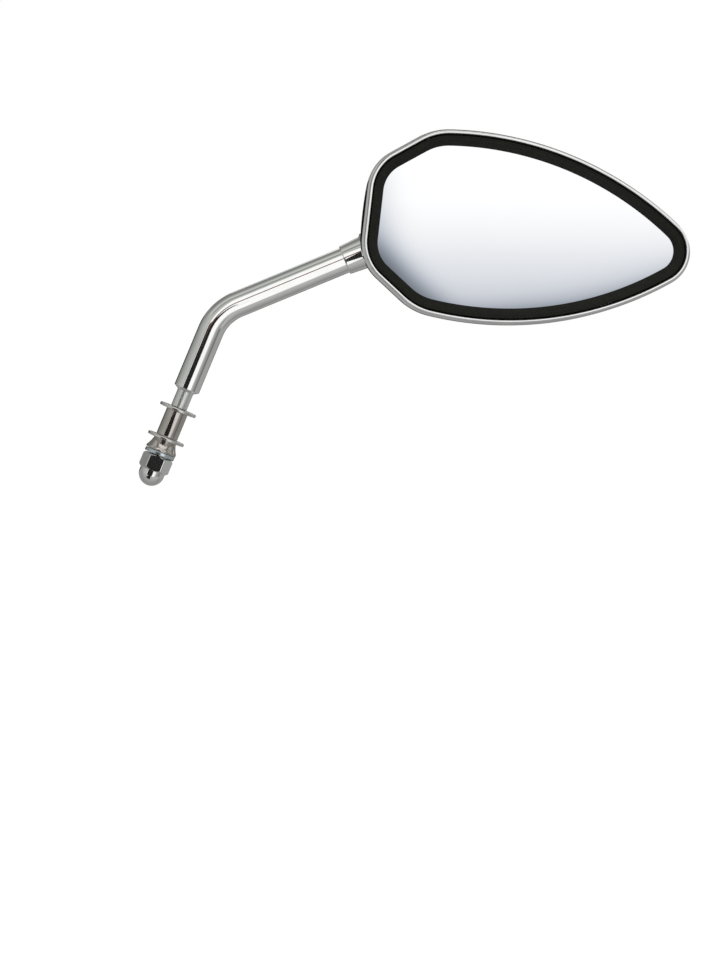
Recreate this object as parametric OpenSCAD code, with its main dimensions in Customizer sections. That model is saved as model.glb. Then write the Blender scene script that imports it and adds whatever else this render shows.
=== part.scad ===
// A motorcycle mirror: a bent bar with a mounting stud, a knuckle that turns on the bar,
// and a drop-shaped die-cast head that tilts and turns on a ball.
// The origin is the shoulder where the bar's lower end meets the stud, +Z runs up the stud's
// axis, the upper leg of the bar leans towards +X, and the glass faces -Y.

/* [Bar] */
// Diameter of the bent bar
bar_d = 12.7; // [11:0.1:14]
// Height of the bend's corner above the shoulder
bend_height = 41.5; // [30:0.5:80]
// Angle between the two legs' directions
bend_angle = 45; // [20:1:60]
// Radius of the bar's centre line in the bend
bend_r = 24; // [14:1:30]
// From the bend's corner to the lower edge of the collar nut
collar_at = 66; // [50:1:120]
// Chamfer at the bar's lower end, along the axis
shoulder_chamfer = 1.5; // [0.5:0.1:2.5]

/* [Stud] */
// Diameter of the plain shank
stud_d = 8; // [7:0.1:8.4]
// Length of the plain shank below the shoulder
shank_l = 8.7; // [6:0.1:10]
// Whole length of the stud below the shoulder
stud_l = 45.5; // [42:0.5:46]
// Core diameter of the thread
thread_d = 7.6; // [6.8:0.1:7.6]

/* [Fastening] */
// Diameter of the two flat washers
washer_d = 18.4; // [15:0.1:22]
// Thickness of the two flat washers
washer_t = 1.5; // [0.8:0.1:2]
// Outside diameter of the spacer sleeve
sleeve_d = 10.7; // [10:0.1:12]
// Length of the spacer sleeve
sleeve_l = 13.7; // [12:0.1:15]
// Height of the cone spacer
cone_l = 5.9; // [5:0.1:7]
// Diameter of the cone spacer at its top
cone_top_d = 11.2; // [10.5:0.1:12]
// Diameter of the cone spacer at its foot
cone_foot_d = 15.2; // [14:0.1:18]
// Outside diameter of the lock washer
lock_d = 15; // [13:0.1:16]
// Thickness of the lock washer
lock_t = 2.4; // [1.5:0.1:3]
// Width of the cap nut across its flats
cap_af = 13.3; // [12.5:0.1:15]
// Height of the cap nut's hexagon
cap_hex_l = 7.5; // [6:0.1:9]
// Diameter of the cap nut's dome
cap_dome_d = 12.4; // [11.5:0.1:12.5]
// Whole height of the cap nut
cap_l = 15.2; // [14.6:0.1:17]

/* [Knuckle] */
// Diameter of the collar nut's round skirt
skirt_d = 14.5; // [14.2:0.1:16]
// Length of the collar nut's round skirt
skirt_l = 10.5; // [8:0.5:14]
// Width of the collar nut across its flats
collar_af = 16; // [15:0.1:19]
// Length of the collar nut's hexagon
collar_hex_l = 6.2; // [5:0.1:8]
// Diameter of the thread that joins the bar and the knuckle
joint_thread_d = 9.7; // [8:0.1:10]
// Diameter of the knuckle's barrel and leg
knuckle_d = 16; // [14:0.1:17]
// From the hexagon's face to the middle of the elbow
barrel_l = 23.3; // [20:0.1:35]
// Angle between the barrel and the leg
elbow_angle = 103; // [92:1:110]
// From the middle of the elbow to the centre of the ball
leg_l = 22; // [20:0.5:35]

/* [Ball joint] */
// Diameter of the ball
ball_d = 26; // [25:0.5:28]
// Thickness of the liner ring around the ball
liner_t = 1.5; // [1:0.1:2]
// Height of the liner ring above the ball's equator, as an angle
liner_half_angle = 15; // [8:1:18]
// Diameter of the spigot on the leg that carries the ball
spigot_d = 8; // [7:0.1:9]
// Length of the spigot inside the ball
spigot_l = 8.2; // [6:0.1:9]
// Diameter of the screw that holds the ball
ball_screw_d = 5; // [4:0.5:5]
// Diameter of that screw's head
ball_screw_head_d = 8.6; // [8:0.1:9]

/* [Clamp] */
// Radius of the circle through the retainer screws
clamp_circle_r = 20.4; // [20:0.1:22]
// Diameter of the retainer plate
plate_d = 49; // [48:1:52]
// Thickness of the retainer plate
plate_t = 1.6; // [1:0.1:2]
// Diameter of the retainer screws
clamp_screw_d = 4; // [3:0.5:4]
// Diameter of the retainer screws' heads
clamp_head_d = 7; // [6.5:0.1:8]
// Thickness of the disc spring
spring_t = 0.8; // [0.5:0.1:1]

/* [Head outline] */
// Length of the head along its axis, over the rim
head_l = 161; // [150:1:175]
// Width of the head over the rim
head_w = 92.6; // [88:0.5:98]
// From the blunt side to where the head is widest
widest_at = 55; // [52:1:58]
// Radius of the head's round tip
tip_r = 17.6; // [16:0.1:20]
// Radius of the corners between the cheeks and the long sides
corner_r = 31; // [26:1:34]
// Radius of the corners beside the blunt side
blunt_r = 23; // [18:1:25]
// Length of the straight stretch of the blunt side
blunt_flat = 24; // [20:1:26]
// Angle of the two cheeks to the head's axis
cheek_angle = 35.6; // [33:0.1:38]
// Turn of the head about its ball, with 0 along the barrel's own plane
head_roll = 60.5; // [40:0.5:80]

/* [Head shell] */
// From the blunt side to the ball's centre, along the axis
ball_from_blunt = 37; // [35:0.5:39]
// Room between the retainer screws' heads and the foam pad
pad_room = 1.3; // [1:0.1:3]
// Wall thickness of the shell
wall = 2.4; // [1.8:0.1:2.8]
// Height of the shell's upright side wall
side_wall_h = 6.8; // [6.6:0.1:8]
// Depth of the two scoops' floors behind the rim's front
scoop_depth = 9.2; // [9:0.1:10.5]
// How far the shell's shoulder stands out behind the ball's centre
shoulder_out = 1.2; // [0.6:0.1:2]
// How far in from the edge the shoulder has risen by two thirds
shoulder_rise = 9.5; // [8:0.5:12]
// Slope of the bevelled wall at the blunt end, as depth for each mm inward
bevel_slope = 1.25; // [1.1:0.05:1.5]
// Depth of the spine at the tip
spine_tip_depth = 9.8; // [9.5:0.1:12]
// From the blunt side to where the spine starts to fall towards the tip
spine_from = 46; // [42:0.5:52]
// Half width of the spine's top at the tip
spine_half_w = 8.6; // [7:0.1:10]
// Drop from the spine's middle crease to its edges
spine_crease = 1.3; // [0.5:0.1:2]
// Width of the coved wall between the spine and a scoop's floor
cove_w = 8; // [6:0.5:9]
// Radius of the scoops' round ends
scoop_end_r = 14.5; // [13:0.5:16]
// From the blunt side to the middle of the scoops' round ends
scoop_end_at = 56; // [55:0.5:60]
// From the head's axis to the middle of the scoops' round ends
scoop_end_out = 30; // [29:0.5:32]
// Diameter of the opening that the ball stands in
opening_d = 24.3; // [24.2:0.1:24.5]
// Height of that opening above the ball's centre
opening_h = 5; // [4.8:0.1:5.2]

/* [Glass and gasket] */
// Width of the chrome rim around the gasket
rim_w = 3; // [2.6:0.1:3.4]
// Width of the gasket that shows inside the rim
gasket_w = 5; // [4:0.1:6]
// Depth of the glass behind the rim's front, at its middle
glass_recess = 1.9; // [1.8:0.1:2.1]
// Thickness of the glass
glass_t = 2; // [1.8:0.1:2.1]
// Radius of the convex glass
glass_r = 1400; // [1300:50:2000]
// Thickness of the foam pad behind the glass
pad_t = 0.9; // [0.6:0.1:0.9]

/* [Hidden] */

// Clearances and small common sizes
running = 0.05;
easy = 0.3;
seat_gap = 0.05;
far = 200;
seam_step = 0.05;
$fn = 64;

// Heights down the stud, each the top of its piece
washer_1_z = -shank_l - 0.1;
sleeve_z = washer_1_z - washer_t;
washer_2_z = sleeve_z - sleeve_l;
cone_z = washer_2_z - washer_t;
lock_z = cone_z - cone_l;
cap_z = lock_z - lock_t - seat_gap;

// Places along the upper leg, measured from the bend's corner
skirt_depth = skirt_l - 1;
bar_end = collar_at + skirt_depth - 0.6;
hex_at = collar_at + skirt_l;
barrel_at = hex_at + collar_hex_l + seat_gap;
elbow_at = barrel_at - seat_gap + barrel_l;
stub_end = barrel_at + barrel_l / 2;

// The ball's flat on the leg side, and the heights along the leg's axis from the ball's centre
ball_r = ball_d / 2;
knuckle_r = knuckle_d / 2;
ball_flat_h = sqrt(ball_r * ball_r - knuckle_r * knuckle_r);
counterbore_h = 5.5;
ball_screw_head_l = 4;
liner_r = ball_r + running + liner_t;
socket_r = liner_r + running;
socket_wall = 2.3;
cup_seat_angle = 131.5;
cup_hole_r = 5.6;
cup_top = ball_r - 0.1;
spring_rise = 0.7;
pad_border = 6;
ball_screw_reach = 5.5;
socket_top = cup_top + 0.3;
plate_h = cup_top + spring_t + spring_rise + 2 * seat_gap;
clamp_head_l = 1.8;
clamp_screw_l = 7;
boss_r = 3.5;
clamp_angles = [0, 112, 248];

// Depths behind the rim's front: the ledge under the glass, the ball's centre and the shoulder
ledge_depth = glass_recess + glass_t + 2.2;
pad_depth = ledge_depth + 0.25 + pad_t / 2;
ball_depth = plate_h + plate_t + clamp_head_l + pad_room + pad_depth;
shoulder_depth = ball_depth + shoulder_out;

// The head's outline: a straight blunt side, two cheeks, two long sides and a round tip
half_w = head_w / 2;
tip_run = head_l - widest_at;
side_r = (tip_run * tip_run + half_w * half_w - 2 * tip_r * tip_run) / (2 * (half_w - tip_r));
side_c = [widest_at, half_w - side_r];
tip_c = [head_l - tip_r, 0];
blunt_c = [blunt_r, blunt_flat / 2];
cheek_dir = [cos(cheek_angle), sin(cheek_angle)];
cheek_out = [-sin(cheek_angle), cos(cheek_angle)];
cheek_point = blunt_c + cheek_out * blunt_r;
corner_base = blunt_c + cheek_out * (blunt_r - corner_r);
corner_off = corner_base - side_c;
corner_reach = side_r - corner_r;
corner_run = -corner_off * cheek_dir
  + sqrt(pow(corner_off * cheek_dir, 2) - corner_off * corner_off + corner_reach * corner_reach);
corner_c = corner_base + cheek_dir * corner_run;
cheek_turn = 90 + cheek_angle;
side_start = atan2(corner_c[1] - side_c[1], corner_c[0] - side_c[0]);
side_stop = atan2(tip_c[1] - side_c[1], tip_c[0] - side_c[0]);

// How finely the outline and the shell's back are drawn
blunt_steps = 4;
cheek_steps = 4;
corner_steps = 4;
side_steps = 33;
tip_steps = 6;
flat_rows = 13;

function turned(a) = [cos(a), sin(a)];
function mixed(a, b, t) = a + (b - a) * t;
function arc(centre, r, a0, a1, n, first, crowd = 1) =
  [for (i = [first:n]) let(a = mixed(a0, a1, pow(i / n, crowd))) concat(centre + r * turned(a), turned(a))];

// Upper half of the outline, as points with their outward normals
half_outline = concat(
  arc(blunt_c, blunt_r, 180, cheek_turn, blunt_steps, 0),
  [for (i = [1:cheek_steps - 1])
    concat(mixed(cheek_point, corner_c + cheek_out * corner_r, i / cheek_steps), cheek_out)],
  arc(corner_c, corner_r, cheek_turn, side_start, corner_steps, 0),
  arc(side_c, side_r, side_start, side_stop, side_steps, 1, 1.3),
  arc(tip_c, tip_r, side_stop, 0, tip_steps, 1)
);
columns = len(half_outline) - 1;

function inset_point(k, inset) =
  [half_outline[k][0] - inset * half_outline[k][2], half_outline[k][1] - inset * half_outline[k][3]];

// A closed ring of outline points at one inset: up the blunt side, over the top, back below
function ring_2d(inset) = concat(
  [for (j = [-flat_rows:flat_rows]) [inset, j / flat_rows * blunt_flat / 2]],
  [for (k = [1:columns - 1]) inset_point(k, inset)],
  [[head_l - inset, 0]],
  [for (k = [columns - 1:-1:1]) let(p = inset_point(k, inset)) [p[0], -p[1]]]
);
ring_n = 2 * flat_rows + 2 * columns;

// Distances in from the outline, exact near each of its stretches
function in_fan(p, c, a0, a1) = let(a = atan2(p[1] - c[1], p[0] - c[0])) a <= a0 && a >= a1;
function fan_dist(p, c, r, a0, a1) = in_fan(p, c, a0, a1) ? r - norm(p - c) : far;
function blunt_dist(p) =
  min(p[0], (cheek_point - p) * cheek_out, fan_dist(p, blunt_c, blunt_r, 180, cheek_turn));
function edge_dist(p) = max(0, min(
  blunt_dist(p),
  side_r - norm(p - side_c),
  fan_dist(p, corner_c, corner_r, cheek_turn, side_start),
  p[0] > tip_c[0] ? tip_r - norm(p - tip_c) : far
));

// Depths of the shell's back: the shoulder, the bevel, the spine and the scoops
blend = 0.7;
function soft_min(a, b) = -blend * ln(exp(-a / blend) + exp(-b / blend));
function shoulder(e) = side_wall_h + (shoulder_depth - side_wall_h + 1) * (1 - exp(-e / shoulder_rise));
function bevel(e) = side_wall_h + bevel_slope * e;
spine_end = head_l - 4;
spine_slope = (shoulder_depth - spine_tip_depth) / (spine_end - spine_from);
flare_w = 3.9;
flare_run = 14;
crease_run = 12;
function spine_edge(u) =
  spine_half_w + 0.03 * max(0, spine_end - u) + flare_w * exp(-max(0, u - scoop_end_at) / flare_run);
function spine(u, v) =
  soft_min(shoulder_depth, spine_tip_depth + spine_slope * (spine_end - u))
    - spine_crease * min(1, v / spine_edge(u)) * min(1, max(0, u - scoop_end_at) / crease_run);
function high(u, v, e) = soft_min(soft_min(spine(u, v), shoulder(e)), bevel(blunt_dist([u, v])));
function low(e) = soft_min(scoop_depth, side_wall_h + 2 * e);
function scoop_in(u, v) = u >= scoop_end_at
  ? v - spine_edge(u)
  : scoop_end_r - norm([u - scoop_end_at, (v - scoop_end_out) * (v > scoop_end_out ? 0.5 : 1)]);
function cove(x) = x <= 0 ? 1 : x >= 1 ? 0 : pow(1 - x, 2.2);
function back_depth(u, v) =
  let(w = abs(v), e = edge_dist([u, w]), h = high(u, w, e), l = min(h, low(e)))
  max(side_wall_h, l + (h - l) * cove(scoop_in(u, w) / cove_w));

// The cavity keeps the wall's thickness behind the back, sideways too
reach = 0.9 * wall;
function hollow_depth(u, v) = max(ledge_depth + 0.3, min([
  back_depth(u, v) - wall,
  back_depth(u + reach, v) - 0.3,
  back_depth(u - reach, v) - 0.3,
  back_depth(u, abs(v) + reach) - 0.3
]));

// Rows across one column: spine, cove, floor and edge, closer where the form turns
function row_out(u, half, j) =
  let(
    top = min(spine_edge(u), 0.5 * half),
    foot = min(top + cove_w, 0.78 * half),
    brim = max(half - 2.5, mixed(foot, half, 0.5))
  )
  j <= 2 ? top * j / 2
    : j <= 7 ? mixed(top, foot, (j - 2) / 5)
    : j <= 10 ? mixed(foot, brim, (j - 7) / 3)
    : mixed(brim, half, (j - 10) / (flat_rows - 10));

// Points of one skin of the shell; its border lies at one depth
function skin_points(inset, border, hollow) = concat(
  [for (k = [0:columns - 1]) let(p = inset_point(k, inset)) for (j = [-flat_rows:flat_rows])
    k == 0
      ? [p[0], j / flat_rows * p[1], border]
      : let(v = sign(j) * row_out(p[0], p[1], abs(j)))
        [p[0], v, abs(j) == flat_rows ? border : hollow ? hollow_depth(p[0], v) : back_depth(p[0], v)]],
  [[head_l - inset, 0, border]]
);
row_n = 2 * flat_rows + 1;
skin_n = columns * row_n + 1;
function cell(base, k, j) = base + k * row_n + j + flat_rows;
function skin_faces(base, flip) =
  let(
    tip = base + skin_n - 1,
    last = columns - 1,
    quads = [for (k = [0:last - 1]) for (j = [-flat_rows:flat_rows - 1])
      [cell(base, k, j), cell(base, k + 1, j), cell(base, k + 1, j + 1), cell(base, k, j + 1)]],
    fan = [for (j = [-flat_rows:flat_rows - 1]) [cell(base, last, j), tip, cell(base, last, j + 1)]],
    cut = concat([for (q = quads) each [[q[0], q[1], q[2]], [q[0], q[2], q[3]]]], fan)
  )
  flip ? [for (f = cut) [f[2], f[1], f[0]]] : cut;
function skin_border(base) = concat(
  [for (j = [-flat_rows:flat_rows]) cell(base, 0, j)],
  [for (k = [1:columns - 1]) cell(base, k, flat_rows)],
  [base + skin_n - 1],
  [for (k = [columns - 1:-1:1]) cell(base, k, -flat_rows)]
);
function ring_ids(base) = [for (i = [0:ring_n - 1]) base + i];
function band(a, b) = [for (i = [0:ring_n - 1]) let(n = (i + 1) % ring_n)
  each [[a[i], a[n], b[n]], [a[i], b[n], b[i]]]];

// Depth of the convex glass's front behind the rim's front
glass_mid = [head_l / 2, 0];
function glass_front(p) = glass_recess + pow(norm(p - glass_mid), 2) / (2 * glass_r);

// Head drawing places, with depth behind the rim's front, to the ball's own frame
function from_ball(p) = [p[0] - ball_from_blunt, p[1], ball_depth - p[2]];

// Frames
module on_upper_leg(along) {
  translate([0, 0, bend_height]) rotate([0, bend_angle, 0]) translate([0, 0, along]) children();
}
module on_leg() {
  on_upper_leg(elbow_at) rotate([180 - elbow_angle, 0, 0]) translate([0, 0, leg_l]) children();
}
module in_head() {
  on_leg() rotate([0, 0, head_roll]) children();
}

// A ring between two radii, from its top downwards
module washer(outer_d, inner_d, top, t) {
  translate([0, 0, top - t])
    difference() {
      cylinder(d = outer_d, h = t);
      translate([0, 0, -1]) cylinder(d = inner_d, h = t + 2);
    }
}

// A hexagon with its corners turned off at one or both ends
module hexagon(af, h, both) {
  corner = af / cos(30) / 2;
  chamfer = (corner - af / 2) * 0.6;
  intersection() {
    cylinder(r = corner, h = h, $fn = 6);
    rotate_extrude()
      polygon([
        [0, 0], [both ? af / 2 : corner + 1, 0], [corner + 0.1, both ? chamfer : 0],
        [corner + 0.1, h - chamfer], [af / 2, h], [0, h]
      ]);
  }
}

// The bent bar with the mounting stud below and the threaded stub above, turned from one piece
module stem() {
  bar_r = bar_d / 2;
  tangent = bend_r * tan(bend_angle / 2);
  color("silver") {
    rotate_extrude()
      polygon([
        [0, -stud_l], [thread_d / 2 - 0.8, -stud_l], [thread_d / 2, -stud_l + 0.8],
        [thread_d / 2, -shank_l], [stud_d / 2, -shank_l], [stud_d / 2, 0],
        [bar_r - shoulder_chamfer * 1.5, 0], [bar_r, shoulder_chamfer],
        [bar_r, bend_height - tangent], [0, bend_height - tangent]
      ]);
    translate([bend_r, 0, bend_height - tangent])
      rotate([90, 0, 0])
        rotate_extrude(angle = bend_angle, start = 180 - bend_angle)
          translate([bend_r, 0]) circle(r = bar_r);
    on_upper_leg(tangent)
      rotate_extrude()
        polygon([
          [0, 0], [bar_r, 0], [bar_r, bar_end - tangent], [joint_thread_d / 2, bar_end - tangent],
          [joint_thread_d / 2, stub_end - tangent - 0.8], [joint_thread_d / 2 - 0.8, stub_end - tangent],
          [0, stub_end - tangent]
        ]);
  }
}

module upper_washer() {
  color("gainsboro") washer(washer_d, stud_d + 2 * easy, washer_1_z, washer_t);
}

module spacer_sleeve() {
  color("rosybrown") washer(sleeve_d, stud_d + 2 * easy, sleeve_z, sleeve_l);
}

module lower_washer() {
  color("gainsboro") washer(washer_d, stud_d + 2 * easy, washer_2_z, washer_t);
}

// The cone spacer flares in a hollow curve down to a short upright rim
module cone_spacer() {
  rim = 0.9;
  flare_r = cone_l * 2.2;
  top_r = cone_top_d / 2;
  foot_r = cone_foot_d / 2;
  color("rosybrown")
    rotate_extrude()
      translate([0, cone_z - cone_l])
        polygon(concat(
          [[stud_d / 2 + easy, 0], [foot_r, 0], [foot_r, rim]],
          [for (i = [1:7]) let(t = i / 8)
            [mixed(foot_r, top_r, 1 - pow(1 - t, 1.5)), mixed(rim, cone_l, t)]],
          [[top_r, cone_l], [stud_d / 2 + easy, cone_l]]
        ));
}

// The lock washer is split, and its ends stand slightly apart
module lock_washer() {
  split = 0.9;
  color("lightsteelblue")
    difference() {
      washer(lock_d, stud_d + 2 * easy, lock_z, lock_t);
      translate([0, -split / 2, lock_z - lock_t - 1]) rotate([12, 0, 0]) cube([lock_d, split, lock_t + 2]);
    }
}

// The cap nut is a hexagon with a round dome below it, bored blind from above
module cap_nut() {
  dome_r = cap_dome_d / 2;
  straight = cap_l - cap_hex_l - dome_r;
  bore_end = stud_l + cap_z + 1.2;
  color("silver")
    translate([0, 0, cap_z])
      difference() {
        union() {
          mirror([0, 0, 1]) hexagon(cap_af, cap_hex_l, true);
          rotate_extrude()
            intersection() {
              union() {
                translate([0, -cap_hex_l - straight]) circle(r = dome_r);
                translate([0, -cap_hex_l - straight]) square([dome_r, straight + cap_hex_l / 2]);
              }
              translate([0, -cap_l - 1]) square([dome_r + 1, cap_l + 1]);
            }
        }
        translate([0, 0, -bore_end]) cylinder(d = thread_d + 2 * running, h = bore_end + 1);
      }
}

// The collar nut hides the bar's thread under a round skirt and locks the knuckle
module collar_nut() {
  lip = 1.2;
  color("silver")
    on_upper_leg(collar_at)
      difference() {
        union() {
          rotate_extrude()
            polygon([
              [0, 0], [skirt_d / 2 - lip, 0], [skirt_d / 2 - 0.35, 0.35], [skirt_d / 2, lip],
              [skirt_d / 2, skirt_l + 0.5], [0, skirt_l + 0.5]
            ]);
          translate([0, 0, skirt_l]) hexagon(collar_af, collar_hex_l, true);
        }
        translate([0, 0, -1]) cylinder(d = bar_d + 2 * running, h = skirt_depth + 1);
        cylinder(d = joint_thread_d + 2 * running, h = skirt_l + collar_hex_l + 1);
      }
}

// Everything on the leg's side of the elbow's mitre plane
module past_mitre() {
  rotate([(180 - elbow_angle) / 2, 0, 0]) translate([-far / 2, -far / 2, 0]) cube(far);
}

// The knuckle is one casting: a tapped barrel, a mitred leg a hair slimmer, and the spigot
module knuckle() {
  leg_end = leg_l - ball_flat_h - seat_gap;
  turn = 180 - elbow_angle;
  color("silver")
    on_upper_leg(elbow_at)
      difference() {
        union() {
          difference() {
            translate([0, 0, -barrel_l + seat_gap]) cylinder(r = knuckle_r, h = barrel_l + knuckle_d);
            past_mitre();
          }
          difference() {
            rotate([turn, 0, 0]) translate([0, 0, -knuckle_d])
              cylinder(r = knuckle_r - seam_step, h = knuckle_d + leg_end);
            rotate([180, 0, 0]) past_mitre();
          }
          rotate([turn, 0, 0]) translate([0, 0, leg_end - 1]) cylinder(d = spigot_d, h = 1 + spigot_l);
        }
        translate([0, 0, -barrel_l])
          cylinder(d = joint_thread_d + 2 * running, h = stub_end - barrel_at + 1.5);
        rotate([turn, 0, 0]) translate([0, 0, leg_end - ball_screw_reach - 1.5])
          cylinder(d = ball_screw_d + 2 * running, h = far);
      }
}

// The ball sits on the leg's spigot, with a counterbore in front for its screw
module pivot_ball() {
  color("silver")
    on_leg()
      difference() {
        sphere(r = ball_r);
        translate([0, 0, -ball_r - 1]) cylinder(r = ball_r, h = ball_r + 1 - ball_flat_h);
        translate([0, 0, -ball_r - 1])
          cylinder(d = spigot_d + 2 * running, h = ball_r + 1 - ball_flat_h + spigot_l + 0.3);
        translate([0, 0, -ball_r]) cylinder(d = ball_screw_d + 0.6, h = 2 * ball_r);
        translate([0, 0, counterbore_h]) cylinder(d = ball_screw_head_d + 0.8, h = ball_r);
      }
}

module ball_screw() {
  socket_af = ball_screw_d * 0.7;
  shank_end = -ball_flat_h - ball_screw_reach;
  color("dimgray")
    on_leg()
      difference() {
        union() {
          translate([0, 0, counterbore_h + seat_gap])
            cylinder(d = ball_screw_head_d, h = ball_screw_head_l);
          translate([0, 0, shank_end]) cylinder(d = ball_screw_d, h = counterbore_h + 1 - shank_end);
        }
        translate([0, 0, counterbore_h + ball_screw_head_l / 2])
          cylinder(d = socket_af / cos(30), h = ball_screw_head_l, $fn = 6);
      }
}

// The liner is a round band of nylon between the ball and its socket
module ball_liner() {
  color("ivory")
    on_leg()
      rotate_extrude()
        difference() {
          intersection() {
            circle(r = liner_r);
            polygon([
              [0, 0], far * turned(-liner_half_angle / 4), far * turned(liner_half_angle)
            ]);
          }
          circle(r = ball_r + running);
        }
}

// The cup presses on the ball's front and slides in the socket's bore
module pressure_cup() {
  edge = cup_seat_angle - 90;
  color("ivory")
    in_head()
      rotate_extrude()
        difference() {
          polygon([
            [cup_hole_r, 0], (ball_r - 1) * turned(edge), (socket_r + 0.2) * turned(edge),
            [socket_r - running - 0.1, (socket_r + 0.2) * sin(edge)],
            [socket_r - running - 0.1, cup_top], [cup_hole_r, cup_top]
          ]);
          circle(r = ball_r + running);
        }
}

// The disc spring is a coned ring between the cup and the plate
module disc_spring() {
  inner = 6.2;
  outer = 12.5;
  color("gray")
    in_head()
      translate([0, 0, cup_top + seat_gap])
        rotate_extrude()
          polygon([
            [inner, 0], [outer, spring_rise], [outer, spring_rise + spring_t], [inner, spring_t]
          ]);
}

// The plate spans the three bosses and holds the spring down
module retainer_plate() {
  color("lightgray")
    in_head()
      translate([0, 0, plate_h])
        difference() {
          cylinder(d = plate_d, h = plate_t);
          translate([0, 0, -1]) cylinder(r = cup_hole_r, h = plate_t + 2);
          for (a = clamp_angles)
            rotate([0, 0, a]) translate([clamp_circle_r, 0, -1])
              cylinder(d = clamp_screw_d + 0.5, h = plate_t + 2);
        }
}

module retainer_screws() {
  color("dimgray")
    in_head()
      for (a = clamp_angles)
        rotate([0, 0, a]) translate([clamp_circle_r, 0, plate_h + plate_t])
          difference() {
            rotate_extrude()
              polygon([
                [0, -clamp_screw_l], [clamp_screw_d / 2, -clamp_screw_l], [clamp_screw_d / 2, seat_gap],
                [clamp_head_d / 2, seat_gap], [clamp_head_d / 2, clamp_head_l / 2],
                [clamp_head_d / 2 - 0.8, clamp_head_l], [0, clamp_head_l]
              ]);
            translate([-clamp_head_d / 2, -0.5, clamp_head_l - 0.9]) cube([clamp_head_d, 1, 1]);
            translate([-0.5, -clamp_head_d / 2, clamp_head_l - 0.9]) cube([1, clamp_head_d, 1]);
          }
}

// The shell's rim in section, as inset and depth, from the back's border round to the ledge
rim_section = [
  [0.25, side_wall_h - 0.7], [0, side_wall_h - 1.6], [0, 2.1], [0.7, 1.5], [1.05, 0.6],
  [1.7, 0.05], [2.3, 0.05], [rim_w - 0.1, 0.9], [rim_w, ledge_depth],
  [rim_w + 2.6, ledge_depth]
];
back_inset = 0.7;
hollow_inset = rim_w + 2.8;

module shell_skin() {
  rings = [for (s = rim_section) [for (p = ring_2d(s[0])) [p[0], p[1], s[1]]]];
  points = concat(
    skin_points(back_inset, side_wall_h, false),
    [for (r = rings) each r],
    skin_points(hollow_inset, ledge_depth + 0.3, true)
  );
  count = len(rings);
  hollow_base = skin_n + count * ring_n;
  borders = concat(
    [skin_border(0)],
    [for (i = [0:count - 1]) ring_ids(skin_n + i * ring_n)],
    [skin_border(hollow_base)]
  );
  polyhedron(
    points = [for (p = points) from_ball(p)],
    faces = concat(
      skin_faces(0, false),
      skin_faces(hollow_base, true),
      [for (i = [0:len(borders) - 2]) each band(borders[i], borders[i + 1])]
    )
  );
}

// Where the shell's back lies below a clamp boss, at the shallowest place under it
function boss_foot(a) =
  let(c = [ball_from_blunt, 0] + clamp_circle_r * turned(a))
  ball_depth + wall / 2
    - min([for (t = [0:45:315]) let(p = c + boss_r * turned(t)) back_depth(p[0], p[1])]);

module clamp_boss(a) {
  foot = boss_foot(a);
  rotate([0, 0, a]) translate([clamp_circle_r, 0, foot]) cylinder(r = boss_r, h = plate_h - foot);
}

// The socket's outer form: a coned collar outside, a round wall inside
module socket_body() {
  collar_top = opening_h + 1.3;
  collar_r = opening_d / 2 + 2;
  collar_foot_r = collar_r + 5.5;
  rotate_extrude()
    polygon([
      [0, -collar_top], [collar_r - 0.4, -collar_top], [collar_r, -collar_top + 0.3],
      [collar_foot_r, ball_depth - shoulder_depth + 0.1],
      [collar_foot_r, ball_depth - shoulder_depth + 1.4], [socket_r + socket_wall, 2.6],
      [socket_r + socket_wall, socket_top], [0, socket_top]
    ]);
}

module socket_space() {
  rotate_extrude() {
    intersection() {
      circle(r = socket_r);
      translate([0, -opening_h]) square([far, far]);
    }
    square([socket_r, far]);
    translate([0, -far / 2]) square([opening_d / 2, far / 2]);
  }
}

// The shell is one casting: rim, spine, scoops, shoulder, socket and the three bosses
module head_shell() {
  color("silver")
    in_head()
      difference() {
        union() {
          shell_skin();
          socket_body();
          for (a = clamp_angles) clamp_boss(a);
        }
        socket_space();
        for (a = clamp_angles)
          rotate([0, 0, a]) translate([clamp_circle_r, 0, plate_h - clamp_screw_l])
            cylinder(d = clamp_screw_d + 2 * running, h = far);
      }
}

module flat_outline(inset) {
  polygon([for (p = ring_2d(inset)) [p[0] - ball_from_blunt, p[1]]]);
}

module foam_pad() {
  color("black")
    in_head()
      translate([0, 0, ball_depth - pad_depth]) linear_extrude(pad_t)
        flat_outline(rim_w + gasket_w + pad_border);
}

// The glass is a slice of a large sphere, cut to the outline
glass_inset = rim_w + gasket_w / 2 + 0.2;
lens_steps = 10;
function lens_point(i) =
  let(r = (head_l / 2 + 1) * i / lens_steps) [r, -r * r / (2 * glass_r)];

module mirror_glass() {
  color("lightblue")
    in_head()
      intersection() {
        translate([0, 0, ball_depth - ledge_depth - 1]) linear_extrude(ledge_depth)
          flat_outline(glass_inset);
        translate(from_ball([glass_mid[0], 0, glass_recess]))
          rotate_extrude($fn = 120)
            polygon(concat(
              [for (i = [0:lens_steps]) lens_point(i)],
              [for (i = [lens_steps:-1:0]) lens_point(i) - [0, glass_t]]
            ));
      }
}

// The gasket in section: outer lip, ridged slope, and a slot that holds the glass's edge
function gasket_section(p) =
  let(g = glass_front(p), lip = rim_w + gasket_w, outer = rim_w + 0.1, slot = glass_inset - 0.1)
  [
    [outer, ledge_depth - 0.05], [outer, 1.3], [outer + 0.5, 0.8], [outer + 1.6, 1.2],
    [outer + 2.1, 1.15], [lip - 1.4, g - 0.75], [lip - 0.9, g - 0.7], [lip, g - 0.35],
    [lip, g - 0.05], [slot, g - 0.05], [slot, g + glass_t + 0.1], [lip - 0.6, g + glass_t + 0.1],
    [lip - 0.6, ledge_depth - 0.05]
  ];

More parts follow.
